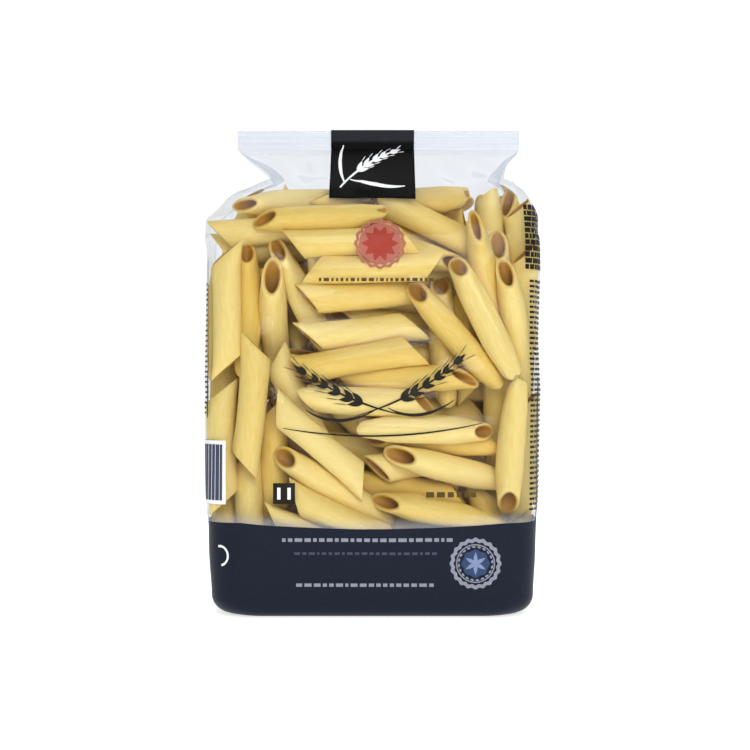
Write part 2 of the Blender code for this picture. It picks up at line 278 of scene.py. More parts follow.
@dataclass(frozen=True)
class Ink(Finish):
    """Printing ink on the film: flat colour with a slight mottle from the press."""

    name: str
    colour: str
    mottle: str
    mottle_size: float = 1.5 * MM
    roughness: float = 0.45
    gloss: float = 0.12

    def paint(self, tree: bpy.types.NodeTree) -> bpy.types.Node:
        """Mix the two shades by a fine noise."""
        noise = grains(tree, self.mottle_size)
        colour = blend(tree, noise.outputs["Fac"], linear(self.colour), linear(self.mottle))
        return add_node(tree, "ShaderNodeBsdfPrincipled", inputs={
            "Base Color": colour, "Roughness": self.roughness, "Specular IOR Level": self.gloss,
        })


@dataclass(frozen=True)
class CoatedPaper(Finish):
    """Black label paper with a matt coating, with a painted highlight: greyer where the seal's jaw
    crimps it.
    """

    name: str = "black coated label paper"
    black: str = "050507"
    # painted highlight: the grey that stands for light catching the crimps on the label's top strip
    painted_sheen_grey: str = "34373d"
    fibre: float = 0.35 * MM
    relief: float = 0.03 * MM
    relief_strength: float = 0.3
    roughness: float = 0.6
    gloss: float = 0.06

    def paint(self, tree: bpy.types.NodeTree) -> bpy.types.Node:
        """Blend to the painted highlight grey by its share attribute, with a fine fibre bump."""
        noise = grains(tree, self.fibre)
        # painted highlight: greyer along the crimped top strip, broken up by the fibre noise
        share = add_node(tree, "ShaderNodeMath", {"operation": "MULTIPLY"},
                         {0: attribute(tree, "painted_sheen_share").outputs["Fac"], 1: noise.outputs["Fac"]})
        bump = add_node(tree, "ShaderNodeBump", inputs={
            "Height": noise.outputs["Fac"], "Strength": self.relief_strength, "Distance": self.relief,
        })
        return add_node(tree, "ShaderNodeBsdfPrincipled", inputs={
            "Base Color": blend(tree, share.outputs[0], linear(self.black), linear(self.painted_sheen_grey)),
            "Roughness": self.roughness, "Normal": bump.outputs[0], "Specular IOR Level": self.gloss,
        })


@dataclass(frozen=True)
class StudioPaper(Finish):
    """White paper on a light table: it glows, so that only a faint contact shadow is left."""

    name: str = "white studio paper"
    white: str = "fafafa"
    grain: float = 0.8 * MM
    smoothest: float = 0.75
    roughest: float = 0.95
    gloss: float = 0.1
    glow: float = 0.72

    def paint(self, tree: bpy.types.NodeTree) -> bpy.types.Node:
        """Plain white with a faint grain in its roughness."""
        rough = add_node(tree, "ShaderNodeMapRange", inputs={
            "Value": grains(tree, self.grain).outputs["Fac"],
            "To Min": self.smoothest, "To Max": self.roughest,
        })
        return add_node(tree, "ShaderNodeBsdfPrincipled", inputs={
            "Base Color": linear(self.white), "Roughness": rough.outputs[0],
            "Specular IOR Level": self.gloss,
            "Emission Color": linear(self.white), "Emission Strength": self.glow,
        })


NAVY_INK = Ink("navy gravure ink", "1b2130", "161b28", gloss=0.08)
PALE_INK = Ink("pale grey gravure ink", "9096a3", "7c8290")
SKY_INK = Ink("blue gravure ink", "36486c", "2e3f62")
RED_INK = Ink("red gravure ink", "913328", "a03f33")
ROSE_INK = Ink("rose gravure ink", "ab6859", "a25c4e")
BLACK_INK = Ink("black gravure ink", "17150f", "242015")
BROWN_INK = Ink("brown gravure ink", "4a3a1c", "584622")
STEEL_INK = Ink("blue grey gravure ink", "464d62", "3d4458")
ICE_INK = Ink("ice blue gravure ink", "8393b3", "7383a5")
WHITE_INK = Ink("white gravure ink", "f2f3f4", "e6e8ea")


@dataclass(frozen=True)
class Shoulder:
    """One upper corner of the bag, seen from the front.

    The film's reach falls from the body to the neck along a superellipse of the given power, and
    then runs straight to the end of the seal.
    """

    start: float
    rise: float
    neck: float
    power: float
    seal: float


@dataclass(frozen=True)
class BagForm:
    """The film's form before it settles on the pasta.

    A point is given by a lap and a height. The lap is 0 at the middle of the front, 1 where the
    front corner starts, 2 where the side starts, 3 at the middle of the side, and on to 6 at the
    middle of the back; laps to the left are negative.
    """

    height: float
    half_width: float = 67.2 * MM
    half_depth: float = 34.0 * MM
    side_corner: float = 15.0 * MM
    base_rounding: float = 8.0 * MM
    base_taper: float = 2.6 * MM
    taper_top: float = 52.0 * MM
    belly: float = 1.0 * MM
    band_top: float = 35.4 * MM
    band_rise: float = 2.4 * MM
    seal_height: float = 8.0 * MM
    seal_half: float = 0.35 * MM
    tent_start: float = 146.0 * MM
    gusset_start: float = 160.0 * MM
    gusset_depth: float = 12.0 * MM
    gusset_power: float = 1.2
    left: Shoulder = Shoulder(157.5 * MM, 18.0 * MM, 49.0 * MM, 1.5, 56.0 * MM)
    right: Shoulder = Shoulder(166.0 * MM, 9.5 * MM, 60.0 * MM, 2.0, 60.8 * MM)

    @property
    def seal_bottom(self) -> float:
        """Height at which the two walls meet."""
        return self.height - self.seal_height

    def band_edge(self, lap: Array) -> Array:
        """Height of the printed band's edge, which hangs lowest at the middle of front and back."""
        span = np.abs(lap)
        flat = np.clip(np.minimum(span, 6.0 - span), 0.0, 1.0)
        return self.band_top + self.band_rise * flat ** 2

    def base_inset(self, z: Array) -> Array:
        """How far the rounded base edge lies inside the wall: a quarter circle."""
        below = np.clip(self.base_rounding - z, 0.0, self.base_rounding)
        return self.base_rounding - np.sqrt(self.base_rounding ** 2 - below ** 2)

    def side_reach(self, z: Array, shoulder: Shoulder) -> Array:
        """Distance from the middle plane to the film at one side.

        Args:
            z: heights.
            shoulder: the corner above that side.

        Returns:
            The reach: the tapering body, then a superellipse, then a straight line to the seal.
        """
        taper = self.base_taper * (1.0 - smooth(0.0, self.taper_top, z))
        body = self.half_width - taper - self.base_inset(z)
        climb = np.clip((z - shoulder.start) / shoulder.rise, 0.0, 1.0)
        run = self.half_width - shoulder.neck
        curve = shoulder.neck + run * (1.0 - climb ** shoulder.power) ** (1.0 / shoulder.power)
        neck_top = shoulder.start + shoulder.rise
        share = np.clip((z - neck_top) / (self.seal_bottom - neck_top), 0.0, 1.0)
        line = shoulder.neck + (shoulder.seal - shoulder.neck) * share
        return np.where(z < shoulder.start, body, np.where(z < neck_top, curve, line))

    def reach(self, z: Array, side: Array) -> Array:
        """Distance from the middle plane to the film, on the right where side is above 0."""
        right, left = (self.side_reach(z, shoulder) for shoulder in (self.right, self.left))
        return np.where(np.asarray(side) > 0.0, right, left)

    def depth(self, z: Array) -> Array:
        """Distance from the middle plane to the film in front and behind.

        Args:
            z: heights.

        Returns:
            The body with its belly, then a quarter cosine that leans in to the seal.
        """
        swell = self.belly * np.sin(np.pi * np.clip(z / self.tent_start, 0.0, 1.0))
        body = self.half_depth - 0.5 * self.base_taper * (1.0 - smooth(0.0, self.taper_top, z))
        body = body - self.base_inset(z) + swell
        share = np.clip((z - self.tent_start) / (self.seal_bottom - self.tent_start), 0.0, 1.0)
        tent = self.seal_half + (self.half_depth - self.seal_half) * np.cos(0.5 * np.pi * share)
        return np.where(z <= self.tent_start, body, tent)

    def corner(self, z: Array) -> Array:
        """Radius of the upright corners, which shrinks with the depth towards the seal."""
        return np.minimum(self.side_corner, 0.96 * self.depth(z))

    def gusset(self, z: Array) -> Array:
        """How far the middle of each side is folded in: half a sine wave below the seal."""
        share = np.clip((z - self.gusset_start) / (self.seal_bottom - self.gusset_start), 0.0, 1.0)
        return self.gusset_depth * np.sin(np.pi * share)

    def fold(self, y: Array, z: Array) -> Array:
        """How far in the side lies at a place: the gusset, fading towards front and back."""
        middle = np.clip(1.0 - np.abs(y) / self.depth(z), 0.0, 1.0)
        return self.gusset(z) * middle ** self.gusset_power

    def place(self, lap: Array, z: Array) -> Array:
        """Points of the form.

        Args:
            lap: laps, from -6 to 6.
            z: heights.

        Returns:
            Points, with one axis more than lap and z.
        """
        lap, z = np.broadcast_arrays(np.asarray(lap, float), np.asarray(z, float))
        side = np.where(lap >= 0.0, 1.0, -1.0)
        front = np.abs(lap) <= 3.0
        span = np.where(front, np.abs(lap), 6.0 - np.abs(lap))
        flat, arc, wall = (np.clip(span - start, 0.0, 1.0) for start in (0.0, 1.0, 2.0))
        reach, depth, corner = self.reach(z, side), self.depth(z), self.corner(z)
        x = (reach - corner) * flat + corner * np.sin(0.5 * np.pi * arc)
        y = (depth - corner) * (1.0 - wall) + corner * np.cos(0.5 * np.pi * arc)
        x = x - self.fold(y, z)
        return np.stack([side * x, np.where(front, -y, y), z], axis=-1)

    def normal(self, lap: Array, z: Array) -> Array:
        """Unit normals, outward: the cross product of the steps along the lap and up."""
        along = self.place(np.asarray(lap) + 0.01, z) - self.place(np.asarray(lap) - 0.01, z)
        level = np.clip(z, 0.4 * MM, self.height)
        up = self.place(lap, level + 0.2 * MM) - self.place(lap, level - 0.2 * MM)
        cross = np.cross(along, up)
        return cross / np.maximum(np.linalg.norm(cross, axis=-1, keepdims=True), 1e-12)

    def lap_of(self, run: Array, z: Array) -> Array:
        """The lap that lies a given run along the film from the middle of the front.

        Args:
            run: distances along the film, negative to the left.
            z: heights.

        Returns:
            Laps: the flat of the front, then the arc of the corner, then the side.
        """
        run, z = np.broadcast_arrays(np.asarray(run, float), np.asarray(z, float))
        corner, length = self.corner(z), np.abs(run)
        flat = self.reach(z, run) - corner
        bend = 0.5 * np.pi * corner
        lap = np.clip(length / flat, 0.0, 1.0) + np.clip((length - flat) / bend, 0.0, 1.0)
        lap = lap + np.clip((length - flat - bend) / (self.depth(z) - corner), 0.0, 1.0)
        return np.sign(run) * lap

    def room(self, points: Array, clearance: Array) -> Array:
        """How points must move to lie at least clearance inside the film.

        Args:
            points: points inside or near the bag.
            clearance: the distance that each keeps from the film.

        Returns:
            One vector for each point, zero for one that lies well.
        """
        x, y, z = points[..., 0], points[..., 1], points[..., 2]
        slope = (self.depth(z + MM) - self.depth(z - MM)) / (2 * MM)
        lean = np.sqrt(1.0 + slope ** 2)
        reach = self.reach(z, x) - self.fold(y, z) - clearance
        depth = self.depth(z) - clearance * lean
        corner = np.maximum(self.corner(z) - clearance, 0.5 * MM)
        over_x = np.maximum(np.abs(x) - (reach - corner), 0.0)
        over_y = np.maximum(np.abs(y) - (depth - corner), 0.0)
        far = np.hypot(over_x, over_y)
        excess = np.maximum(far - corner, 0.0) / np.maximum(far, 1e-9)
        push_x, push_y = -np.sign(x) * over_x * excess, -np.sign(y) * over_y * excess
        return np.stack([push_x, push_y, np.abs(push_y) * slope / lean], axis=-1)


class Grid:
    """Meshes made of rows and columns of points."""

    @staticmethod
    def quads(rows: int, columns: int, close_rows: bool = False, close_columns: bool = False) -> Array:
        """Corner numbers of the faces between rows and columns.

        Args:
            rows: number of rows.
            columns: number of points in a row.
            close_rows: whether the last row meets the first.
            close_columns: whether the last column meets the first.

        Returns:
            An array of faces by four corners.
        """
        row = np.arange(rows if close_rows else rows - 1)[:, None]
        column = np.arange(columns if close_columns else columns - 1)[None, :]
        next_row, next_column = (row + 1) % rows, (column + 1) % columns
        corners = (row * columns + column, row * columns + next_column,
                   next_row * columns + next_column, next_row * columns + column)
        return np.stack(np.broadcast_arrays(*corners), axis=-1).reshape(-1, 4)

    @staticmethod
    def repeat(quads: Array, size: int, count: int) -> Array:
        """The same faces for each of count grids of size points that follow each other."""
        return (quads[None] + (np.arange(count) * size)[:, None, None]).reshape(-1, 4)

    @staticmethod
    def zip_ring(start: int, columns: int) -> Array:
        """Faces that close a flattened ring: each point of the front leaf joins the one behind it.

        Args:
            start: number of the ring's first point, at the middle of the front.
            columns: number of points in the ring, a multiple of four.

        Returns:
            Quads between the leaves; the first and last have two corners alike.
        """
        step = np.arange(-(columns // 4), columns // 4)
        half = columns // 2
        corners = (step, step + 1, half - step - 1, half - step)
        return start + np.stack([corner % columns for corner in corners], axis=-1)

    @staticmethod
    def piece(
        name: str, points: Array, faces: Array, attributes: dict[str, Array] | None = None
    ) -> bpy.types.Object:
        """Make a mesh object at the origin.

        Args:
            name: the piece's name.
            points: points, in any number of axes.
            faces: four corner numbers of each face; a corner named twice makes a triangle.
            attributes: values for each point, of one number or three each.

        Returns:
            The object, linked to the scene and shaded smooth.
        """
        mesh = bpy.data.meshes.new(name)
        flat = np.ascontiguousarray(points.reshape(-1, 3), dtype=np.float32)
        corners = [list(dict.fromkeys(face)) for face in faces.tolist()]
        mesh.from_pydata(flat.tolist(), [], corners)
        for key, values in (attributes or {}).items():
            wide = values.size == flat.size
            layer = mesh.attributes.new(key, "FLOAT_VECTOR" if wide else "FLOAT", "POINT")
            numbers = np.ascontiguousarray(values, dtype=np.float32).ravel()
            layer.data.foreach_set("vector" if wide else "value", numbers)
        mesh.shade_smooth()
        mesh.update()
        item = bpy.data.objects.new(name, mesh)
        bpy.context.scene.collection.objects.link(item)
        return item


def dress(item: bpy.types.Object, finish: Finish, node: Node) -> bpy.types.Object:
    """Give a piece its finish and body, hide the CAD part of its node, and log it.

    Args:
        item: the piece.
        finish: its finish.
        node: the CAD node that it stands for.

    Returns:
        The same piece.
    """
    material = bpy.data.materials.get(finish.name) or finish.build()
    item.data.materials.append(material)
    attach(item, "root")
    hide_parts(node.value)
    LOG.info("%s: %d faces", item.name, len(item.data.polygons))
    return item


@dataclass(frozen=True)
class Resting:
    """A tube whose place is given in a list.

    Its free end lies at x and z millimetres in the front view and points along turn, in degrees
    from level. The end comes forward by dive degrees, the tube lies sunk millimetres behind the
    film, and roll turns its slanted ends: at 180 the free end's mouth faces the viewer, at 90 or
    -90 it is seen from the side.
    """

    x: float
    z: float
    turn: float
    dive: float
    sunk: float
    roll: float
    length: float = 54.0


# placed after the photograph, apart from the second layer
FRONT_TUBES = tuple(Resting(*row) for row in (
    # upright, down the left edge
    (-60, 148, 91, 0, 8, 90), (-60, 95, 89, 0, 8, 100),
    (-61, 122, 90, 0, 21, 90), (-51, 149, 90, 5, 0.5, 180),
    (-49, 112, 92, 0, 0, -90, 57), (-46, 67, 81, -3, 2.5, 90),
    (-40, 140, 87, 30, 3, 180), (-42, 150, 122, 8, 2.5, 180),
    (-42, 106, 114, 8, 4, 90), (-33, 87, 74, 0, 6, 90),
    # across the top
    (-53, 160, 195, 5, 1.5, 180), (-47, 160, 184, 0, 0, 200),
    (-35, 148, 188, 0, 0.3, 90),
    (39, 142, -18, 4, 0.5, 180), (43, 145, -25, 0, 0, 90), (43, 162, 92, 12, 1, 180),
    (48, 151, 103, 12, 7, 180), (55, 164, 96, 16, 2, 90),
    # across the middle
    (33, 138, 0, 0, 0, -90, 58), (26, 129, 0, 0, 6, 90), (23, 114, 4, 0, 3, 90),
    (9, 125, 150, 4, 1.5, 180), (46, 103, 21, 3, 0, 150), (-30, 81, 192, 0, 0, 40),
    (-32, 97, 190, 0, 0.8, 90),
    # upright, down the right edge
    (29, 136, 95, 8, 0.2, 180), (36, 138, 91, 5, 2.5, 90), (44, 141, 91, 3, 0, 180),
    (54, 139, 90, 8, 0.5, 180), (54, 45, -90, 0, 0, 180), (47, 108, 93, 5, 6, 90),
    (60, 150, 90, 0, 11, 90), (60, 92, 89, 0, 10, 90), (61, 120, 90, 0, 22, 90),
    # level stack, low on the right
    (48, 78, -5, 0, 0, 180), (-3, 72, 176, 0, 5.5, 180), (9, 61, 176, 5, 0, 180),
    (43, 51, -2, 2, 5.5, 90), (0, 43, 180, 0, 0, 180), (12, 65, -2, 0, 11, 90),
    # slanting down, low on the left
    (-3, 51, -42, 6, 0.2, 90), (-38, 65, 148, 3, 0, 180), (-35, 50, 153, 0, 1.5, 90),
    (-44, 42, 165, 0, 3.5, 90),
    # a second layer, which fills the gaps between the first
    (-16, 155, 6, 0, 16, 90), (30, 157, -7, 0, 17, 90), (52, 92, 12, 0, 15, 90),
    (-2, 92, 176, 0, 16, 90), (-10, 67, 4, 0, 15, 90),
))
TOP_TUBES = tuple(Resting(*row) for row in (
    # tubes further in, whose ends stand above the front ones
    (-43, 169, 75, 0, 22, 0), (-28, 172, 95, 0, 24, 180), (-21, 171, 82, 0, 16, 90),
    (22, 173, 100, 0, 24, 0), (42, 170, 110, 0, 22, 90), (52, 167, 80, 0, 20, 0),
))
COVER_TUBES = tuple(
    # level or slanting ones, which close the heap's top behind the front layer
    Resting(x, 160 + lift, turn, 0, sunk, roll)
    for x, lift, turn, sunk, roll in (
        (-14, 0, 8, 17, 90), (30, 1, -12, 18, 200), (52, 0, 24, 27, 90), (6, 2, -6, 29, 40),
        (-18, 1, 30, 30, 250), (50, 0, -20, 38, 120), (10, 1, 14, 40, 0), (-16, -2, -24, 40, 180),
        (56, -3, 5, 48, 90), (4, -3, -4, 49, 60),
    )
)
SIDE_TUBES = tuple(
    # upright ones along both sides, behind the front layer
    Resting(side * 59, top, 90 + side * lean, 0, sunk, roll)
    for side in (-1, 1)
    for top, lean, sunk, roll in (
        (66, 7, 14, 90), (120, -5, 13, 0), (150, 6, 15, 150), (70, -6, 27, 30), (125, 8, 29, 210),
        (152, -3, 30, 120), (60, 5, 42, 80), (116, -9, 43, 300), (148, 4, 44, 190),
    )
)


@dataclass
class PenneHeap:
    """The loose tubes: where each lies, and their mesh."""

    form: BagForm
    radius: float = 5.6 * MM
    wall: float = 1.5 * MM
    length: float = 54.0 * MM
    slant: float = 0.85
    pinch: float = 0.36
    pinch_reach: float = 7.0 * MM
    tip_reach: float = 1.08
    ridge: float = 1.0 * MM
    edge: float = 0.28 * MM
    around: int = 26
    outer_rows: int = 12
    inner_rows: int = 5
    filled: int = 84
    upright_from: float = 33.0 * MM
    upright_spread: float = 0.28
    margin: float = 9.0 * MM
    floor: float = 10.0 * MM
    ceiling: float = 173.0 * MM
    film_gap: float = 0.45 * MM
    tube_gap: float = 0.1 * MM
    widening: float = 0.3
    bow_mm: float = 0.9
    warp: float = 0.12 * MM
    warp_waves: float = 60.0
    lowest: float = 1.5 * MM
    rounds: int = 3000
    steadiness: float = 0.35
    first_size: float = 0.55
    growth: float = 0.9
    grip: float = 0.15
    grip_loss: float = 1.3
    last_grip: float = 0.004
    axis_grip: float = 0.7
    film_push: float = 1.6
    stride: float = 0.8
    turning: float = 0.5
    pinned_ease: tuple[float, float, float] = (0.25, 0.6, 0.25)
    digits: int = 7
    seed: int = 15

    def __post_init__(self) -> None:
        """Draw the tubes' sizes, set them out and let them settle."""
        placed = FRONT_TUBES + TOP_TUBES + COVER_TUBES + SIDE_TUBES
        draw = np.random.default_rng(self.seed)
        self.shown = len(FRONT_TUBES)
        count = len(placed) + self.filled
        self.lengths = self.length * (1.0 + draw.uniform(-0.06, 0.04, count))
        self.lengths[:len(placed)] = np.array([tube.length for tube in placed]) * MM
        self.radii = self.radius * (1.0 + draw.uniform(-0.03, 0.03, count))
        self.half_cores = 0.5 * self.lengths - self.radii
        self.rolls = draw.uniform(0.0, FULL_TURN, count)
        self.rolls[:len(placed)] = np.radians([tube.roll for tube in placed])
        self.centres, self.axes = self.first_places(placed, draw)
        self.pins, self.pinned_axes = self.centres.copy(), self.axes.copy()
        self.relax()

    def first_places(
        self, placed: tuple[Resting, ...], draw: np.random.Generator
    ) -> tuple[Array, Array]:
        """Where each tube lies before the heap settles.

        Args:
            placed: the tubes whose places are listed.
            draw: source of the random places of the others.

        Returns:
            Centres and unit axes of all tubes.
        """
        turn = np.radians([tube.turn for tube in placed])
        dive = np.radians([tube.dive for tube in placed])
        level = np.cos(dive)
        known = np.stack([np.cos(turn) * level, -np.sin(dive), np.sin(turn) * level], axis=-1)
        ends = np.array([[tube.x, 0.0, tube.z] for tube in placed]) * MM
        lengths, half_cores, radii = (sizes[:len(placed), None] for sizes in
                                      (self.lengths, self.half_cores, self.radii))
        centres = ends - known * (0.5 * lengths)
        steps = np.linspace(-1.0, 1.0, 5)[None, :, None]
        points = centres[:, None] + steps * known[:, None] * half_cores[..., None]
        depths = self.form.depth(points[..., 2]) - radii - self.film_gap
        sunk = np.array([tube.sunk for tube in placed]) * MM
        centres[:, 1] = sunk - (depths - np.abs(points[..., 1] - centres[:, None, 1])).min(axis=1)
        width, depth, margin = self.form.half_width, self.form.half_depth, self.margin
        low = np.array([margin - width, 2 * margin - depth, self.floor])
        high = np.array([width, depth, self.ceiling]) - margin
        loose = draw.uniform(low, high, (self.filled, 3))
        upright = np.abs(loose[:, :1]) > self.upright_from
        axes = np.where(upright, [0.0, 0.0, 1.0], [1.0, 0.0, 0.0])
        axes = axes + draw.normal(0.0, self.upright_spread, (self.filled, 3))
        axes /= np.linalg.norm(axes, axis=1, keepdims=True)
        return np.concatenate([centres, loose]), np.concatenate([known, axes])

    def contacts(self, pairs: tuple[Array, Array], grown: float) -> tuple[Array, ...]:
        """Closest points of every pair of overlapping tubes, taken as capsules.

        Args:
            pairs: numbers of the first and the second tube of each pair.
            grown: share of their full radius that the loose tubes have so far.

        Returns:
            Numbers of the first and second tube, distances of the contact along each axis, the
            unit vector from the second to the first, and the depth of the overlap.
        """
        first, second = pairs
        radii = self.radii.copy()
        radii[self.shown:] *= grown
        gap = self.centres[first] - self.centres[second]
        near = np.linalg.norm(gap, axis=1) < (self.lengths[first] + self.lengths[second]) * 0.5
        first, second, gap = first[near], second[near], gap[near]
        axis_1, axis_2 = self.axes[first], self.axes[second]
        reach_1, reach_2 = self.half_cores[first], self.half_cores[second]
        dot = np.einsum("ij,ij->i", axis_1, axis_2)
        along_1 = np.einsum("ij,ij->i", axis_1, gap)
        along_2 = np.einsum("ij,ij->i", axis_2, gap)
        spread = np.maximum(1.0 - dot ** 2, 1e-6)
        at_1 = np.clip((dot * along_2 - along_1) / spread, -reach_1, reach_1)
        at_2 = np.clip(along_2 + dot * at_1, -reach_2, reach_2)
        at_1 = np.clip(dot * at_2 - along_1, -reach_1, reach_1)
        between = gap + axis_1 * at_1[:, None] - axis_2 * at_2[:, None]
        distance = np.linalg.norm(between, axis=1)
        overlap = radii[first] + radii[second] + self.tube_gap - distance
        hit = overlap > 0.0
        direction = between[hit] / np.maximum(distance[hit], 1e-9)[:, None]
        return first[hit], second[hit], at_1[hit], at_2[hit], direction, overlap[hit]

    def relax(self) -> None:
        """Push overlapping tubes apart and back inside the film, for a fixed number of rounds.

        Each contact moves both tubes apart along the line between their closest points, and
        turns them by the moment that this push has about their middles. The front tubes are
        drawn back to their places after each round, and less so towards the end. Every round
        ends with a rounding to a fixed number of digits, so that tiny differences in arithmetic
        seldom grow. Small overlaps are left at the end, and are logged.
        """
        count = len(self.lengths)
        pairs = np.triu_indices(count, 1)
        loose = np.arange(count)[:, None] >= self.shown
        ease = np.where(loose, 1.0, np.array(self.pinned_ease))
        freedom = np.where(loose[:, 0], 1.0, self.steadiness)
        steps = np.linspace(-1.0, 1.0, 5)[None, :]
        inertia = self.half_cores ** 2 / 3.0 + self.radii ** 2 / 2.0
        for turn in range(self.rounds):
            grown = min(1.0, self.first_size + self.growth * turn / self.rounds)
            hold = self.grip * max(0.0, 1.0 - self.grip_loss * turn / self.rounds) + self.last_grip
            first, second, at_1, at_2, direction, overlap = self.contacts(pairs, grown)
            push = direction * (overlap / (freedom[first] + freedom[second]))[:, None]
            shift, twist, weight = np.zeros((count, 3)), np.zeros((count, 3)), np.ones(count)
            for who, at, sign in ((first, at_1, 1.0), (second, at_2, -1.0)):
                move = sign * push * freedom[who, None] * ease[who]
                np.add.at(shift, who, move)
                np.add.at(twist, who, move * at[:, None])
                np.add.at(weight, who, 1.0)
            reach = (steps * self.half_cores[:, None])[..., None]
            points = self.centres[:, None] + self.axes[:, None] * reach
            clear = self.radii[:, None] + self.film_gap
            inward = self.form.room(points, clear)
            lift = np.maximum(self.floor - points[..., 2], 0.0)
            inward[..., 2] += lift - np.maximum(points[..., 2] - self.ceiling + clear, 0.0)
            crowd = np.sqrt(weight)[:, None]
            shift = shift / crowd + inward.mean(axis=1) * self.film_push
            twist = twist / crowd + (inward * reach).mean(axis=1) * self.film_push
            self.centres += self.stride * shift
            self.axes += self.turning * twist / inertia[:, None]
            self.centres[:self.shown] += hold * (self.pins - self.centres)[:self.shown]
            self.axes[:self.shown] += (
                self.axis_grip * hold * (self.pinned_axes - self.axes)[:self.shown]
            )
            self.axes /= np.linalg.norm(self.axes, axis=1, keepdims=True)
            self.centres = np.round(self.centres, self.digits)
            self.axes = np.round(self.axes, self.digits)
        left = self.contacts(pairs, 1.0)[-1]
        drift = np.linalg.norm((self.centres - self.pins)[:self.shown, ::2], axis=1)
        LOG.info("heap of %d tubes: %d overlaps, worst %.2f mm, pinned tubes drifted %.1f mm at most",
                 count, len(left), left.max(initial=0.0) / MM, drift.max() / MM)

    def ends(self) -> tuple[Array, Array]:
        """Ends of every tube's middle line, almost up to the tips of its cuts."""
        arm = self.axes * (self.half_cores + 0.7 * self.radii)[:, None]
        return self.centres - arm, self.centres + arm

    def tip_sides(self) -> Array:
        """Unit vectors across each tube, towards the side whose upper end is the longer one."""
        viewer = np.broadcast_to([0.0, -1.0, 0.0], self.axes.shape)
        across = np.cross(self.axes, viewer)
        across /= np.maximum(np.linalg.norm(across, axis=1, keepdims=True), 1e-9)
        turned = np.cross(across, self.axes)
        return turned * np.cos(self.rolls)[:, None] + across * np.sin(self.rolls)[:, None]

    def ridges(self) -> tuple[Array, Array, Array]:
        """The two lines of each tube's wall that run out to the tips of its cuts.

        Returns:
            Their lower ends, their upper ends, and how thick each counts.
        """
        out = self.tip_sides() * (self.tip_reach * self.radii - self.ridge)[:, None]
        skew = self.axes * (self.slant * self.radii)[:, None]
        half = 0.5 * self.axes * self.lengths[:, None] - skew
        middles = np.concatenate([self.centres + out + skew, self.centres - out - skew])
        halves = np.concatenate([half, half])
        return middles - halves, middles + halves, np.full(len(middles), self.ridge)

    def profile(self) -> tuple[Array, Array, Array]:
        """The wall's cross-section as a closed loop.

        Returns:
            For each row, how far in from the outer face it lies, its place along the tube from
            -1 to 1, and how far it is drawn back from the cut to round the edge.
        """
        outer = np.linspace(-1.0, 1.0, self.outer_rows)
        inner = np.linspace(1.0, -1.0, self.inner_rows)
        rim = np.array([self.edge, self.wall - self.edge])
        outer_back, inner_back = np.zeros(outer.size), np.zeros(inner.size)
        outer_back[[0, -1]] = self.edge
        inner_back[[0, -1]] = self.edge
        inset = np.concatenate([np.zeros(outer.size), rim, np.full(inner.size, self.wall), rim[::-1]])
        along = np.concatenate([outer, np.ones(2), inner, -np.ones(2)])
        back = np.concatenate([outer_back, np.zeros(2), inner_back, np.zeros(2)])
        return inset[None, :, None], along[None, :, None], back[None, :, None]

    def build(self) -> bpy.types.Object:
        """Build all tubes as one mesh.

        In a tube's own frame a point is ((r - i + w) cos a, (r - i - p) sin a, h + s x): r is the
        radius, i the inset of its row, h its place along the tube and s the slant of both cuts.
        Near an end the tube is pinched by p across and widened by w, as the cutter leaves it.
        Points that would stick out are then pressed back inside the film, which bends a few ends
        near the shoulders and the top.

        Returns:
            The piece.
        """
        count = len(self.lengths)
        draw = np.random.default_rng(self.seed + 1)
        inset, along, back = self.profile()
        angle = np.linspace(0.0, FULL_TURN, self.around, endpoint=False)[None, None, :]
        radius = self.radii[:, None, None]
        slant = (self.slant * (1.0 + draw.uniform(-0.2, 0.15, count)))[:, None, None]
        pinch = (self.pinch * (1.0 + draw.uniform(-0.4, 0.4, count)))[:, None, None]
        half = 0.5 * self.lengths[:, None, None] - slant * radius
        height = along * half - np.sign(along) * back
        squeeze = pinch * radius * np.exp(-((half - np.abs(height)) / self.pinch_reach) ** 2)
        x = (radius - inset + self.widening * squeeze) * np.cos(angle)
        y = (radius - inset - squeeze) * np.sin(angle)
        z = height + slant * x
        bend = draw.uniform(-self.bow_mm, self.bow_mm, (2, count))[..., None, None] * MM
        wave = draw.uniform(0.0, FULL_TURN, count)[:, None, None]
        swell = self.warp * np.sin(2.0 * angle + wave + self.warp_waves * z)
        bow = (z / half) ** 2 - 0.3
        x = x + bend[0] * bow + swell * np.cos(angle)
        y = y + swell * np.sin(angle)
        y = y + bend[1] * bow
        tip = self.tip_sides()
        side = np.cross(self.axes, tip)
        frames = [direction[:, None, None] for direction in (tip, side, self.axes)]
        local = (x, y, z)
        points = self.centres[:, None, None] + sum(local[k][..., None] * frames[k] for k in range(3))
        points = points + self.form.room(points, np.full(x.shape, self.film_gap))
        points[..., 2] = np.maximum(points[..., 2], self.lowest)
        shape = x.shape
        tone = np.broadcast_to(draw.uniform(0.0, 1.0, count)[:, None, None], shape)
        start = draw.uniform(0.0, 40.0, count)[:, None, None]
        circle = (np.cos(angle), np.sin(angle), 0.25 * z / radius + start)
        streak = np.stack([np.broadcast_to(part, shape) for part in circle], axis=-1)
        bore = np.broadcast_to(smooth(0.5 * self.wall, self.wall, inset), shape)
        rows = shape[1]
        faces = Grid.repeat(Grid.quads(rows, self.around, True, True), rows * self.around, count)
        looks = {"tone": tone, "streak": streak, "bore": bore}
        item = Grid.piece("penne_tubes", points, faces, looks)
        return dress(item, DriedPasta(), Node.BAG)


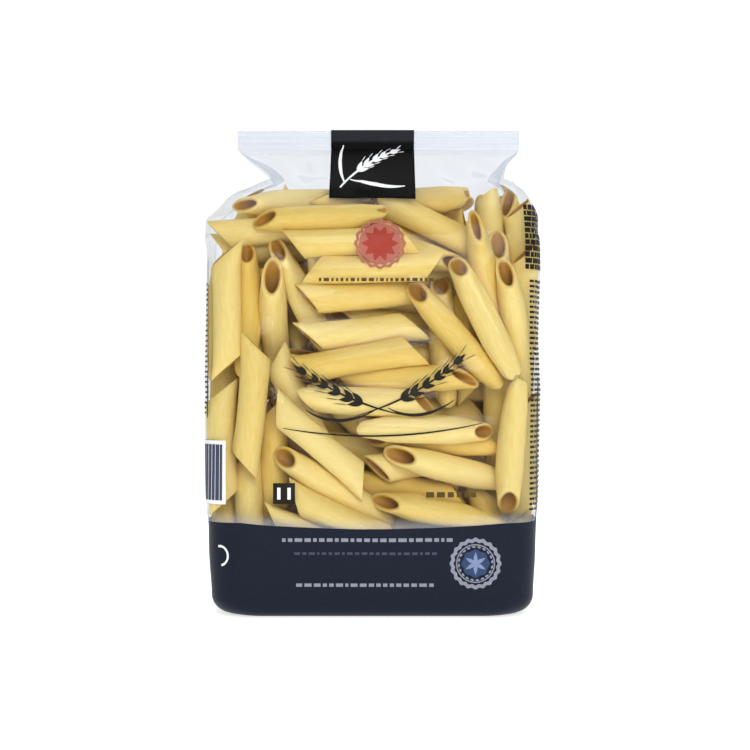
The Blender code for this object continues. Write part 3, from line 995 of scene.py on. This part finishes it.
@dataclass
class Film:
    """The film as it lies on the tubes: its clear wall, its printed band, and places on it."""

    form: BagForm
    heap: PenneHeap
    deepest: float = 1.2 * MM
    soften: float = 2.6 * MM
    blend: float = 0.8 * MM
    band_calm: float = 0.75
    calm_reach: float = 12.0 * MM
    crease: float = 0.5 * MM
    crease_start: float = 158.0 * MM
    crease_full: float = 184.0 * MM
    fine_crease: float = 2.3 * MM
    wide_crease: float = 5.3 * MM
    crimp: float = 0.16 * MM
    crimp_pitch: float = 2.6 * MM
    clear_haze: float = 0.004
    weld_haze: float = 0.20
    tent_haze: float = 0.08
    edge_haze: float = 0.22
    row_step: float = 1.3 * MM
    flat_steps: int = 46
    corner_steps: int = 20
    side_steps: int = 16
    quiet_half: float = 19.0 * MM
    batch: int = 6000

    def __post_init__(self) -> None:
        """Keep the lines that the film lies on: the tubes' middle lines and those to their tips."""
        groups = zip((*self.heap.ends(), self.heap.radii), self.heap.ridges())
        self.starts, self.stops, self.sizes = (np.concatenate(group) for group in groups)

    def sag(self, points: Array) -> Array:
        """How far the film sinks between the tubes at each point.

        The gap to the nearest tube, softened over its neighbours, gives a sag that rises from 0
        and levels off at the deepest: d (1 - exp(-gap / s)).

        Args:
            points: points of the form.

        Returns:
            The sag at each point.
        """
        flat = points.reshape(-1, 3)
        line = self.stops - self.starts
        square = np.einsum("ij,ij->i", line, line)
        gaps = []
        for part in np.array_split(flat, 1 + len(flat) // self.batch):
            offset = part[:, None] - self.starts[None]
            share = np.clip(np.einsum("ijk,jk->ij", offset, line) / square, 0.0, 1.0)
            beside = offset - share[..., None] * line[None]
            distance = np.linalg.norm(beside, axis=2) - self.sizes[None]
            least = distance.min(axis=1, keepdims=True)
            crowd = np.exp(-(distance - least) / self.blend).sum(axis=1)
            gaps.append(least[:, 0] - self.blend * np.log(crowd))
        gap = np.maximum(np.concatenate(gaps), 0.0).reshape(points.shape[:-1])
        return self.deepest * (1.0 - np.exp(-gap / self.soften))

    def pleats(self, points: Array) -> Array:
        """Fine pleats under the seal: waves across the width that grow towards it.

        There are none by the label.

        Args:
            points: points of the form.

        Returns:
            How far each point sinks.
        """
        x, z = points[..., 0], points[..., 2]
        bottom = self.form.seal_bottom
        grow = smooth(self.crease_start, self.crease_full, z)
        grow = grow * (1.0 - smooth(bottom - 5 * MM, bottom, z))
        grow = grow * smooth(self.quiet_half, self.quiet_half + 6 * MM, np.abs(x))
        wave = np.sin(x / self.fine_crease + 2.5 * np.sin(z / (7 * MM)))
        wave = wave + 0.7 * np.sin(x / self.wide_crease - z / (6 * MM))
        return self.crease * grow * wave

    def surface(self, lap: Array, z: Array, lift: float = 0.0) -> Array:
        """Points on the settled film.

        Args:
            lap: laps.
            z: heights.
            lift: distance outside the film.

        Returns:
            Points: the form, sunk by the sag and the pleats, with level crimps in the seal.
        """
        form = self.form
        points = form.place(lap, z)
        calm = 1.0 - self.band_calm * (1.0 - smooth(0.5 * form.band_top, form.band_top + 4 * MM, z))
        calm = calm * smooth(0.0, self.calm_reach, z)
        calm = calm * (1.0 - smooth(form.seal_bottom - self.calm_reach, form.seal_bottom, z))
        inward = self.sag(points) * calm + self.pleats(points)
        points = points + form.normal(lap, z) * (lift - inward)[..., None]
        inside = smooth(form.seal_bottom, form.seal_bottom + MM, z)
        crimps = np.sin(FULL_TURN * (z - form.seal_bottom) / self.crimp_pitch)
        points[..., 1] += self.crimp * inside * crimps
        return points

    def wrap(self, run: Array, z: Array, lift: float) -> Array:
        """Points on the settled film, a run along it from the middle of the front."""
        return self.surface(self.form.lap_of(run, z), z, lift)

    def laps(self) -> Array:
        """The laps of the film's columns, once round from the middle of the front."""
        parts = ((0.0, self.flat_steps), (1.0, self.corner_steps), (2.0, self.side_steps))
        quarter = np.concatenate([start + np.arange(steps) / steps for start, steps in parts])
        right = np.concatenate([quarter, [3.0], 6.0 - quarter[::-1]])
        return np.concatenate([right, -right[-2:0:-1]])

    def build_wall(self) -> bpy.types.Object:
        """Build the clear film from the band's edge to the top of the seal.

        Returns:
            The piece. Its rows start on the band's edge and level out above it.
        """
        form = self.form
        wall = np.arange(form.band_top, form.seal_bottom - 0.5 * self.row_step, self.row_step)
        seal = np.linspace(form.seal_bottom, form.height, 25)
        lap, z = np.meshgrid(self.laps(), np.concatenate([wall, seal]))
        edge = form.band_edge(lap)
        z = z + (edge - form.band_top) * (1.0 - smooth(form.band_top, form.band_top + 30 * MM, z))
        points = self.surface(lap, z)
        rows, columns = z.shape
        ring = Grid.zip_ring((rows - 1) * columns, columns)
        faces = np.concatenate([Grid.quads(rows, columns, close_columns=True), ring])
        weld = smooth(form.seal_bottom - 3 * MM, form.seal_bottom + MM, z)
        haze = self.clear_haze + self.weld_haze * weld
        haze = haze + self.tent_haze * smooth(156 * MM, 176 * MM, z)
        haze = haze + self.edge_haze * (1.0 - smooth(0.0, 5 * MM, z - edge))
        item = Grid.piece("clear_film", points, faces, {"haze": haze})
        return dress(item, ClearFilm(), Node.BAG)

    def build_band(self) -> bpy.types.Object:
        """Build the printed foot of the bag: flat base, rounded edge, and wall up to the band's edge.

        Returns:
            The piece.
        """
        form = self.form
        turn = np.linspace(0.0, 0.5 * np.pi, 9)[:-1]
        rounding = form.base_rounding * (1.0 - np.cos(turn))
        wall = np.linspace(form.base_rounding, form.band_top, 23)
        lap, z = np.meshgrid(self.laps(), np.concatenate([rounding, wall]))
        z = z + (form.band_edge(lap) - form.band_top) * smooth(12 * MM, form.band_top, z)
        points = self.surface(lap, z)
        shrink = np.linspace(0.05, 0.9, 8)[:, None]
        foot = (points[:1, :, 0] * (0.7 + 0.3 * shrink), points[:1, :, 1] * shrink,
                0.5 * MM * (1.0 - shrink))
        base = np.stack(np.broadcast_arrays(*foot), axis=-1)
        points = np.concatenate([base, points])
        rows, columns = points.shape[:2]
        closing = Grid.zip_ring(0, columns)[:, ::-1]
        faces = np.concatenate([Grid.quads(rows, columns, close_columns=True), closing])
        return dress(Grid.piece("base_band", points, faces), NAVY_INK, Node.BAG)


class InkWork:
    """Flat shapes of one ink, gathered by run and height and laid on the film together."""

    STEP = 1.2 * MM
    INK_LIFT = 0.12 * MM

    def __init__(self, film: Film, lift: float = INK_LIFT) -> None:
        """Start an empty sheet of work at a lift outside the film."""
        self.film = film
        self.lift = lift
        self.grids: list[tuple[Array, Array]] = []

    def bar(self, run: float, z: float, width: float, height: float) -> None:
        """Add an upright rectangle with its middle at run and z."""
        across, up = np.meshgrid(*(
            size * np.linspace(-0.5, 0.5, max(2, round(size / self.STEP) + 1))
            for size in (width, height)
        ))
        self.grids.append((run + across, z + up))

    def disc(self, run: float, z: float, radius: float, lobes: int = 0, swing: float = 0.0) -> None:
        """Add a filled disc.

        A square grid (u, v) is drawn in to a disc by (u sqrt(1 - v^2 / 2), v sqrt(1 - u^2 / 2)),
        and its radius swings with the cosine of lobes times the angle.

        Args:
            run: the middle's run.
            z: the middle's height.
            radius: mean radius.
            lobes: number of lobes.
            swing: share of the radius by which a lobe stands out.
        """
        u, v = np.meshgrid(*[np.linspace(-1.0, 1.0, 25)] * 2)
        x, y = u * np.sqrt(1.0 - 0.5 * v ** 2), v * np.sqrt(1.0 - 0.5 * u ** 2)
        bulge = radius * (1.0 + swing * np.hypot(x, y) * np.cos(lobes * np.arctan2(y, x)))
        self.grids.append((run + bulge * x, z + bulge * y))

    def ring(self, run: float, z: float, radius: float, width: float, lobes: int = 0,
             swing: float = 0.0, start: float = 0.0, sweep: float = 360.0) -> None:
        """Add a ring or an arc of one, with the lobes of a disc.

        Args:
            run: the middle's run.
            z: the middle's height.
            radius: outer radius.
            width: width of the line.
            lobes: number of lobes.
            swing: share of the radius by which a lobe stands out.
            start: angle at which an arc starts, in degrees from the right, anticlockwise.
            sweep: angle of the arc in degrees.
        """
        angle = np.radians(start + np.linspace(0.0, sweep, 97))[None, :]
        size = (radius - np.array([0.0, 0.5, 1.0]) * width)[:, None]
        size = size * (1.0 + swing * np.cos(lobes * angle))
        self.grids.append((run + size * np.cos(angle), z + size * np.sin(angle)))

    def stroke(self, path: Array, width: Array | float) -> None:
        """Add a line of the pen.

        Args:
            path: points of the line, as run and height.
            width: its full width, everywhere or at each point.
        """
        step = np.gradient(path, axis=0)
        left = np.stack([-step[:, 1], step[:, 0]], axis=-1)
        left /= np.maximum(np.linalg.norm(left, axis=1, keepdims=True), 1e-12)
        wide = left * np.broadcast_to(width, len(path))[:, None]
        lines = path[None] + np.array([-0.5, 0.0, 0.5])[:, None, None] * wide[None]
        self.grids.append((lines[..., 0], lines[..., 1]))

    def curve(self, start: tuple[float, float], bend: tuple[float, float], stop: tuple[float, float],
              thin: float, thick: float, points: int = 33) -> Array:
        """Add a pen line along a quadratic curve, thickest at its middle.

        Args:
            start: first point, as run and height.
            bend: control point.
            stop: last point.
            thin: width at both ends.
            thick: width at the middle.
            points: number of points along it.

        Returns:
            The line's points.
        """
        t = np.linspace(0.0, 1.0, points)[:, None]
        first, middle, last = (np.array(point) for point in (start, bend, stop))
        path = (1 - t) ** 2 * first + 2 * t * (1 - t) * middle + t ** 2 * last
        self.stroke(path, thin + (thick - thin) * np.sin(np.pi * t[:, 0]))
        return path

    def leaf(self, root: Array, angle: float, length: float, width: float) -> Array:
        """Add a pointed grain or leaf.

        Args:
            root: its lower end, as run and height.
            angle: its direction in radians.
            length: its length.
            width: its width, greatest before the middle.

        Returns:
            Its tip.
        """
        t = np.linspace(0.0, 1.0, 13)
        heading = np.array([math.cos(angle), math.sin(angle)])
        wide = width * np.sin(np.pi * t ** 0.75) + 0.02 * MM
        self.stroke(root + t[:, None] * length * heading, wide)
        return root + length * heading

    def ear(self, path: Array, pairs: int, grain: float, awn: float) -> None:
        """Add an ear of wheat along the last part of a stem.

        Args:
            path: points of the stem from root to tip.
            pairs: number of pairs of grains.
            grain: length of the lowest grains.
            awn: length of the bristles beyond the grains.
        """
        spread, ear_start, ear_length, bristle = 0.45, 0.42, 0.55, mm(0.12, 0.3)
        for k in range(pairs):
            share = k / (pairs - 1)
            at = int((ear_start + ear_length * share) * (len(path) - 1))
            ahead = path[min(at + 1, len(path) - 1)] - path[at - 1]
            heading = math.atan2(ahead[1], ahead[0])
            size = grain * (1.0 - 0.3 * share)
            for side in (-1.0, 1.0):
                lean = side * spread * (1.0 - 0.3 * share)
                tip = self.leaf(path[at], heading + lean, size, 0.34 * size)
                aim = heading + side * 0.6 * spread
                ending = tip + awn * np.array([math.cos(aim), math.sin(aim)])
                self.curve(tuple(tip), tuple(0.5 * (tip + ending)), tuple(ending), *bristle, 9)
        self.leaf(path[-2], heading, grain, 0.3 * grain)

    def dashes(self, start: float, stop: float, z: float, height: float, seed: int,
               shortest: float = 1.2 * MM, longest: float = 4.2 * MM, gap: float = 0.9 * MM) -> None:
        """Add a row of dashes of uneven length that stands in for a line of small print.

        Args:
            start: run at which the row starts.
            stop: run at which it stops.
            z: height of its middle.
            height: height of a dash.
            seed: seed of the lengths.
            shortest: least length.
            longest: greatest length.
            gap: space between dashes.
        """
        draw = np.random.default_rng(seed)
        run = start
        while run < stop - shortest:
            width = min(draw.uniform(shortest, longest), stop - run)
            self.bar(run + 0.5 * width, z, width, height)
            run += width + gap

    def build(
        self, name: str, finish: Finish, node: Node = Node.BAG, slot: Slot = Slot.PRINT
    ) -> bpy.types.Object:
        """Lay all shapes on the film as one piece.

        Args:
            name: the piece's name.
            finish: its ink.
            node: the CAD node that it stands for.
            slot: not used.

        Returns:
            The piece.
        """
        faces, size = [], 0
        for run, _ in self.grids:
            faces.append(Grid.quads(*run.shape) + size)
            size += run.size
        run, z = (np.concatenate([grid[k].ravel() for grid in self.grids]) for k in (0, 1))
        points = self.film.wrap(run, z, self.lift)
        return dress(Grid.piece(name, points, np.concatenate(faces)), finish, node)


@dataclass
class Prints:
    """Everything that is printed on the film, over the clear part and over the band."""

    film: Film

    def build(self) -> None:
        """Build every mark."""
        self.build_band_rows()
        self.build_rosette()
        self.build_open_ring()
        self.build_round_seal()
        self.build_front_spray()
        self.build_small_marks()
        self.build_side_bars()
        self.build_side_table()

    def build_band_rows(self) -> None:
        """Rows of pale dashes across the band, front and centre."""
        rows = InkWork(self.film)
        rows.dashes(*mm(-35.4, 31.4, 31.1, 1.4), seed=3, longest=3.4 * MM)
        rows.dashes(*mm(-29.9, 24.0, 13.4, 1.3), seed=7, longest=3.0 * MM)
        rows.build("band_rows", PALE_INK)
        dim = InkWork(self.film)
        dim.dashes(*mm(-30.7, 26.7, 25.8, 1.0), seed=4, shortest=0.8 * MM, longest=2.4 * MM)
        dim.build("band_fine_row", STEEL_INK)

    def build_rosette(self) -> None:
        """A rosette on the band: grey rings and leaves round a blue heart with six petals."""
        run, z, radius = mm(40.4, 21.9, 9.9)
        rim = InkWork(self.film)
        rim.ring(run, z, radius, 1.5 * MM, lobes=20, swing=0.035)
        rim.ring(run, z, 0.77 * radius, 0.45 * MM)
        for k in range(20):
            angle = FULL_TURN * k / 20
            root = np.array([run, z]) + 0.66 * radius * np.array([math.cos(angle), math.sin(angle)])
            rim.leaf(root, angle + 0.5 * math.pi, 1.6 * MM, 0.8 * MM)
        rim.build("rosette_rim", PALE_INK)
        heart = InkWork(self.film)
        heart.disc(run, z, 0.54 * radius, lobes=8, swing=0.05)
        heart.build("rosette_heart", SKY_INK)
        petals = InkWork(self.film, 1.6 * InkWork.INK_LIFT)
        for k in range(6):
            petals.leaf(np.array([run, z]), FULL_TURN * (k + 0.5) / 6, 0.46 * radius, 1.5 * MM)
        petals.build("rosette_petals", ICE_INK)

    def build_open_ring(self) -> None:
        """A thin white open ring, low on the left corner."""
        mark = InkWork(self.film)
        mark.ring(*mm(-60.9, 24.6, 4.2, 0.9), start=-80.0, sweep=190.0)
        mark.build("corner_ring", WHITE_INK)

    def build_round_seal(self) -> None:
        """A red flower roundel high on the front, with a row of small dark marks under it."""
        run, z, radius = mm(3.0, 147.4, 9.8)
        glow = InkWork(self.film)
        glow.ring(run, z, radius, 1.1 * MM, lobes=16, swing=0.04)
        glow.disc(run, z, 0.84 * radius)
        glow.build("seal_disc", ROSE_INK)
        flower = InkWork(self.film, 1.6 * InkWork.INK_LIFT)
        for k in range(10):
            flower.leaf(np.array([run, z]), FULL_TURN * k / 10, 0.74 * radius, 3.6 * MM)
        flower.build("seal_flower", RED_INK)
        row = InkWork(self.film)
        row.dashes(*mm(-21.0, 24.5, 133.2, 1.3), seed=12, shortest=0.6 * MM, longest=2.2 * MM)
        row.build("seal_row", BROWN_INK)

    def build_front_spray(self) -> None:
        """Two crossed ears of wheat in thin black line, with two blades and a bent rule below."""
        spray = InkWork(self.film)
        pen = mm(0.35, 0.8)
        left = spray.curve(mm(13, 80), mm(-8, 84), mm(-27, 97), *pen)
        right = spray.curve(mm(-6, 80), mm(16, 86), mm(33, 101), *pen)
        spray.ear(left, 6, 6.2 * MM, 5.0 * MM)
        spray.ear(right, 6, 6.2 * MM, 5.0 * MM)
        spray.curve(mm(1, 82), mm(-14, 74), mm(-26, 82), *mm(0.25, 1.3))
        spray.curve(mm(6, 83), mm(18, 76), mm(32, 86), *mm(0.25, 1.3))
        spray.curve(mm(-35, 75), mm(4, 68), mm(43, 77), *mm(0.3, 0.75), 65)
        spray.build("front_spray", BLACK_INK)

    def build_small_marks(self) -> None:
        """A black tile with two upright strokes low on the left, and small dashes on the right."""
        tile = InkWork(self.film)
        tile.bar(*mm(-34.6, 49.4, 8.6, 8.2))
        tile.build("low_tile", BLACK_INK)
        row = InkWork(self.film)
        row.dashes(*mm(21.0, 42.4, 48.9, 2.1), seed=5, longest=3.6 * MM, gap=1.1 * MM)
        row.build("low_row", BROWN_INK)
        strokes = InkWork(self.film, 1.6 * InkWork.INK_LIFT)
        strokes.bar(*mm(-36.6, 49.4, 1.3, 4.6))
        strokes.bar(*mm(-32.6, 49.4, 1.3, 4.6))
        strokes.build("tile_strokes", WHITE_INK)

    def build_side_bars(self) -> None:
        """A white panel with uneven upright bars on the left side."""
        middle, z, width, height = mm(-74.5, 57.5, 33.0, 25.0)
        panel = InkWork(self.film)
        panel.bar(middle, z, width, height)
        panel.build("bar_panel", WHITE_INK)
        bars = InkWork(self.film, 1.6 * InkWork.INK_LIFT)
        draw = np.random.default_rng(9)
        run = middle - 0.5 * width + 2.2 * MM
        while run < middle + 0.5 * width - 2.6 * MM:
            bar = draw.uniform(0.8, 2.0) * MM
            bars.bar(run + 0.5 * bar, z, bar, height - 3.0 * MM)
            run += bar + draw.uniform(0.25, 0.4) * MM
        bars.build("side_bars", STEEL_INK)

    def build_side_table(self) -> None:
        """Fine rows of dark dashes on both sides, with heavier heading rows on the right one.

        One upright rule crosses the lower rows on the right, and another runs along the front edge
        of the rows on the left.
        """
        table = InkWork(self.film)
        for k in range(11):
            z = (138.6 + 2.45 * k) * MM
            table.dashes(*mm(61.0, 88.0), z, 1.95 * MM, seed=20 + k, longest=5.0 * MM, gap=0.5 * MM)
        for k in range(45):
            z = (133.0 - 2.05 * k) * MM
            table.dashes(*mm(63.5, 90.0), z, 1.0 * MM, seed=40 + k, gap=0.6 * MM)
        table.bar(*mm(70.6, 66.0, 1.6, 58.0))
        for k in range(26):
            table.dashes(*mm(-88.0, -69.0, 132.0 - 2.05 * k, 0.75), seed=90 + k)
        table.bar(*mm(-69.2, 110.0, 1.0, 62.0))
        table.build("side_table", BLACK_INK)


@dataclass
class ClosureLabel:
    """The black paper folded over the seal, front and back."""

    film: Film
    half_width: float = 17.2 * MM
    front_bottom: float = 166.5 * MM
    back_bottom: float = 176.0 * MM
    lift: float = 0.45 * MM
    paper: float = 0.22 * MM
    rows: int = 29
    leaf_steps: int = 40
    fold_steps: int = 8
    fold_rise: float = 0.6

    def leaf(self, across: Array, z: Array, behind: bool) -> Array:
        """Points of one leaf, a lift outside the film in front or behind."""
        lap = self.film.form.lap_of(across, z)
        if behind:
            lap = np.where(across >= 0.0, 6.0, -6.0) - lap
        return self.film.surface(lap, z, self.lift)

    def build(self) -> bpy.types.Object:
        """Build the folded paper: front leaf up, half turn over the seal, back leaf down.

        Returns:
            The piece.
        """
        top = self.film.form.height
        across = np.linspace(-self.half_width, self.half_width, self.rows)[None, :]
        up = np.linspace(self.front_bottom, top, self.leaf_steps)[:, None]
        down = np.linspace(top, self.back_bottom, self.leaf_steps)[:, None]
        front = self.leaf(*np.broadcast_arrays(across, up), False)
        back = self.leaf(*np.broadcast_arrays(across, down), True)
        turn = np.linspace(0.0, np.pi, self.fold_steps + 2)[1:-1][:, None]
        near, far = front[-1, :, 1], back[0, :, 1]
        middle, half = 0.5 * (near + far), 0.5 * (far - near)
        fold = np.stack(np.broadcast_arrays(across, middle - half * np.cos(turn),
                                            top + self.fold_rise * half * np.sin(turn)), axis=-1)
        points = np.concatenate([front, fold, back])
        bottom = self.film.form.seal_bottom
        # painted highlight: the paper turns greyer from 4 mm above the seal's bottom upwards, for the
        # sheen on its crimps
        painted_sheen_share = smooth(bottom + 3 * MM, bottom + 4 * MM, points[..., 2])
        item = Grid.piece("label_paper", points, Grid.quads(*points.shape[:2]), {"painted_sheen_share": painted_sheen_share})
        wall = item.modifiers.new("paper", "SOLIDIFY")
        wall.thickness = self.paper
        wall.offset = -1.0
        dress(item, CoatedPaper(), Node.LABEL)
        self.build_ear()
        return item

    def build_ear(self) -> None:
        """A white ear of wheat drawn across the front leaf, with two long blades."""
        work = InkWork(self.film, self.lift + InkWork.INK_LIFT)
        stem = work.curve(mm(-13, 171), mm(-6, 182), mm(8, 187.5), *mm(0.6, 1.0))
        work.ear(stem, 5, 5.0 * MM, 2.4 * MM)
        work.curve(mm(-9, 175), mm(2, 170), mm(13, 172), *mm(0.4, 1.7))
        work.curve(mm(-11, 173), mm(-15, 182), mm(-12, 191), *mm(0.4, 1.4))
        work.build("label_ear", WHITE_INK, Node.LABEL, Slot.PAPER)


@dataclass
class Studio:
    """The camera, the lights and the white paper that the bag stands on."""

    camera_place: tuple[float, float, float] = (0.001, -0.600, 0.0958)
    lens_mm: float = 69.4
    sensor_mm: float = 36.0
    floor_half: float = 3.0
    floor_drop: float = 0.2 * MM
    backdrop: float = 1.05
    room_light: float = 0.27
    room_until: float = 0.25
    backdrop_from: float = 0.8

    def build(self) -> None:
        """Build everything round the bag."""
        self.build_camera()
        self.build_floor()
        self.build_world()
        self.build_light("key", (0.14, -0.86, 0.46), 0.45, 4.8)
        self.build_light("fill", (0.60, -0.72, 0.10), 0.50, 0.5)
        self.build_light("top", (0.0, 0.10, 0.90), 0.50, 2.2)
        bpy.context.scene.view_settings.view_transform = "Standard"

    def build_camera(self) -> None:
        """Set the level camera, which looks along +Y."""
        data = bpy.data.cameras.new("camera")
        data.lens, data.sensor_width = self.lens_mm, self.sensor_mm
        camera = bpy.data.objects.new("camera", data)
        camera.location = self.camera_place
        camera.rotation_euler = (0.5 * math.pi, 0.0, 0.0)
        bpy.context.scene.collection.objects.link(camera)
        bpy.context.scene.camera = camera

    def build_floor(self) -> None:
        """Lay a sheet of paper under the bag."""
        side = np.array([-self.floor_half, self.floor_half])
        x, y = np.meshgrid(side, side)
        points = np.stack([x, y, np.full_like(x, -self.floor_drop)], axis=-1)
        floor = Grid.piece("floor", points, Grid.quads(2, 2))
        floor.data.materials.append(StudioPaper().build())

    def build_world(self) -> None:
        """Light the bag by a white backdrop behind and a dimmer room in front; all look white."""
        world = bpy.data.worlds.new("studio")
        bpy.context.scene.world = world
        world.use_nodes = True
        tree = world.node_tree
        tree.nodes.clear()
        place = add_node(tree, "ShaderNodeTexCoord")
        parts = add_node(tree, "ShaderNodeSeparateXYZ", inputs={0: place.outputs["Generated"]})
        power = add_node(tree, "ShaderNodeMapRange", inputs={
            "Value": parts.outputs["Y"], "From Min": self.room_until, "From Max": self.backdrop_from,
            "To Min": self.room_light, "To Max": self.backdrop,
        })
        path = add_node(tree, "ShaderNodeLightPath")
        seen = add_node(tree, "ShaderNodeMath", {"operation": "MAXIMUM"},
                        {0: power.outputs[0], 1: path.outputs["Is Camera Ray"]})
        sky = add_node(tree, "ShaderNodeBackground",
                       inputs={"Color": linear("ffffff"), "Strength": seen.outputs[0]})
        add_node(tree, "ShaderNodeOutputWorld", inputs={"Surface": sky.outputs[0]})

    def build_light(
        self, name: str, place: tuple[float, float, float], size: float, watts: float
    ) -> None:
        """Hang a square soft light that points at the middle of the bag.

        Args:
            name: the light's name.
            place: where it hangs.
            size: length of its side.
            watts: its power.
        """
        data = bpy.data.lights.new(name, "AREA")
        data.shape, data.size, data.energy = "SQUARE", size, watts
        light = bpy.data.objects.new(name, data)
        light.location = place
        aim = Vector((0.0, 0.0, 0.5 * CAD_BOX[1][2])) - Vector(place)
        light.rotation_euler = aim.to_track_quat("-Z", "Y").to_euler()
        bpy.context.scene.collection.objects.link(light)


def main() -> None:
    """Build the stage and every piece of the bag."""
    logging.basicConfig(level=logging.INFO, format="%(name)s: %(message)s")
    Studio().build()
    form = BagForm(height=round(float(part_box(Node.BAG.value)[1][2]), 5))
    heap = PenneHeap(form)
    heap.build()
    film = Film(form, heap)
    film.build_wall()
    film.build_band()
    Prints(film).build()
    ClosureLabel(film).build()


if __name__ == "__main__":
    main()
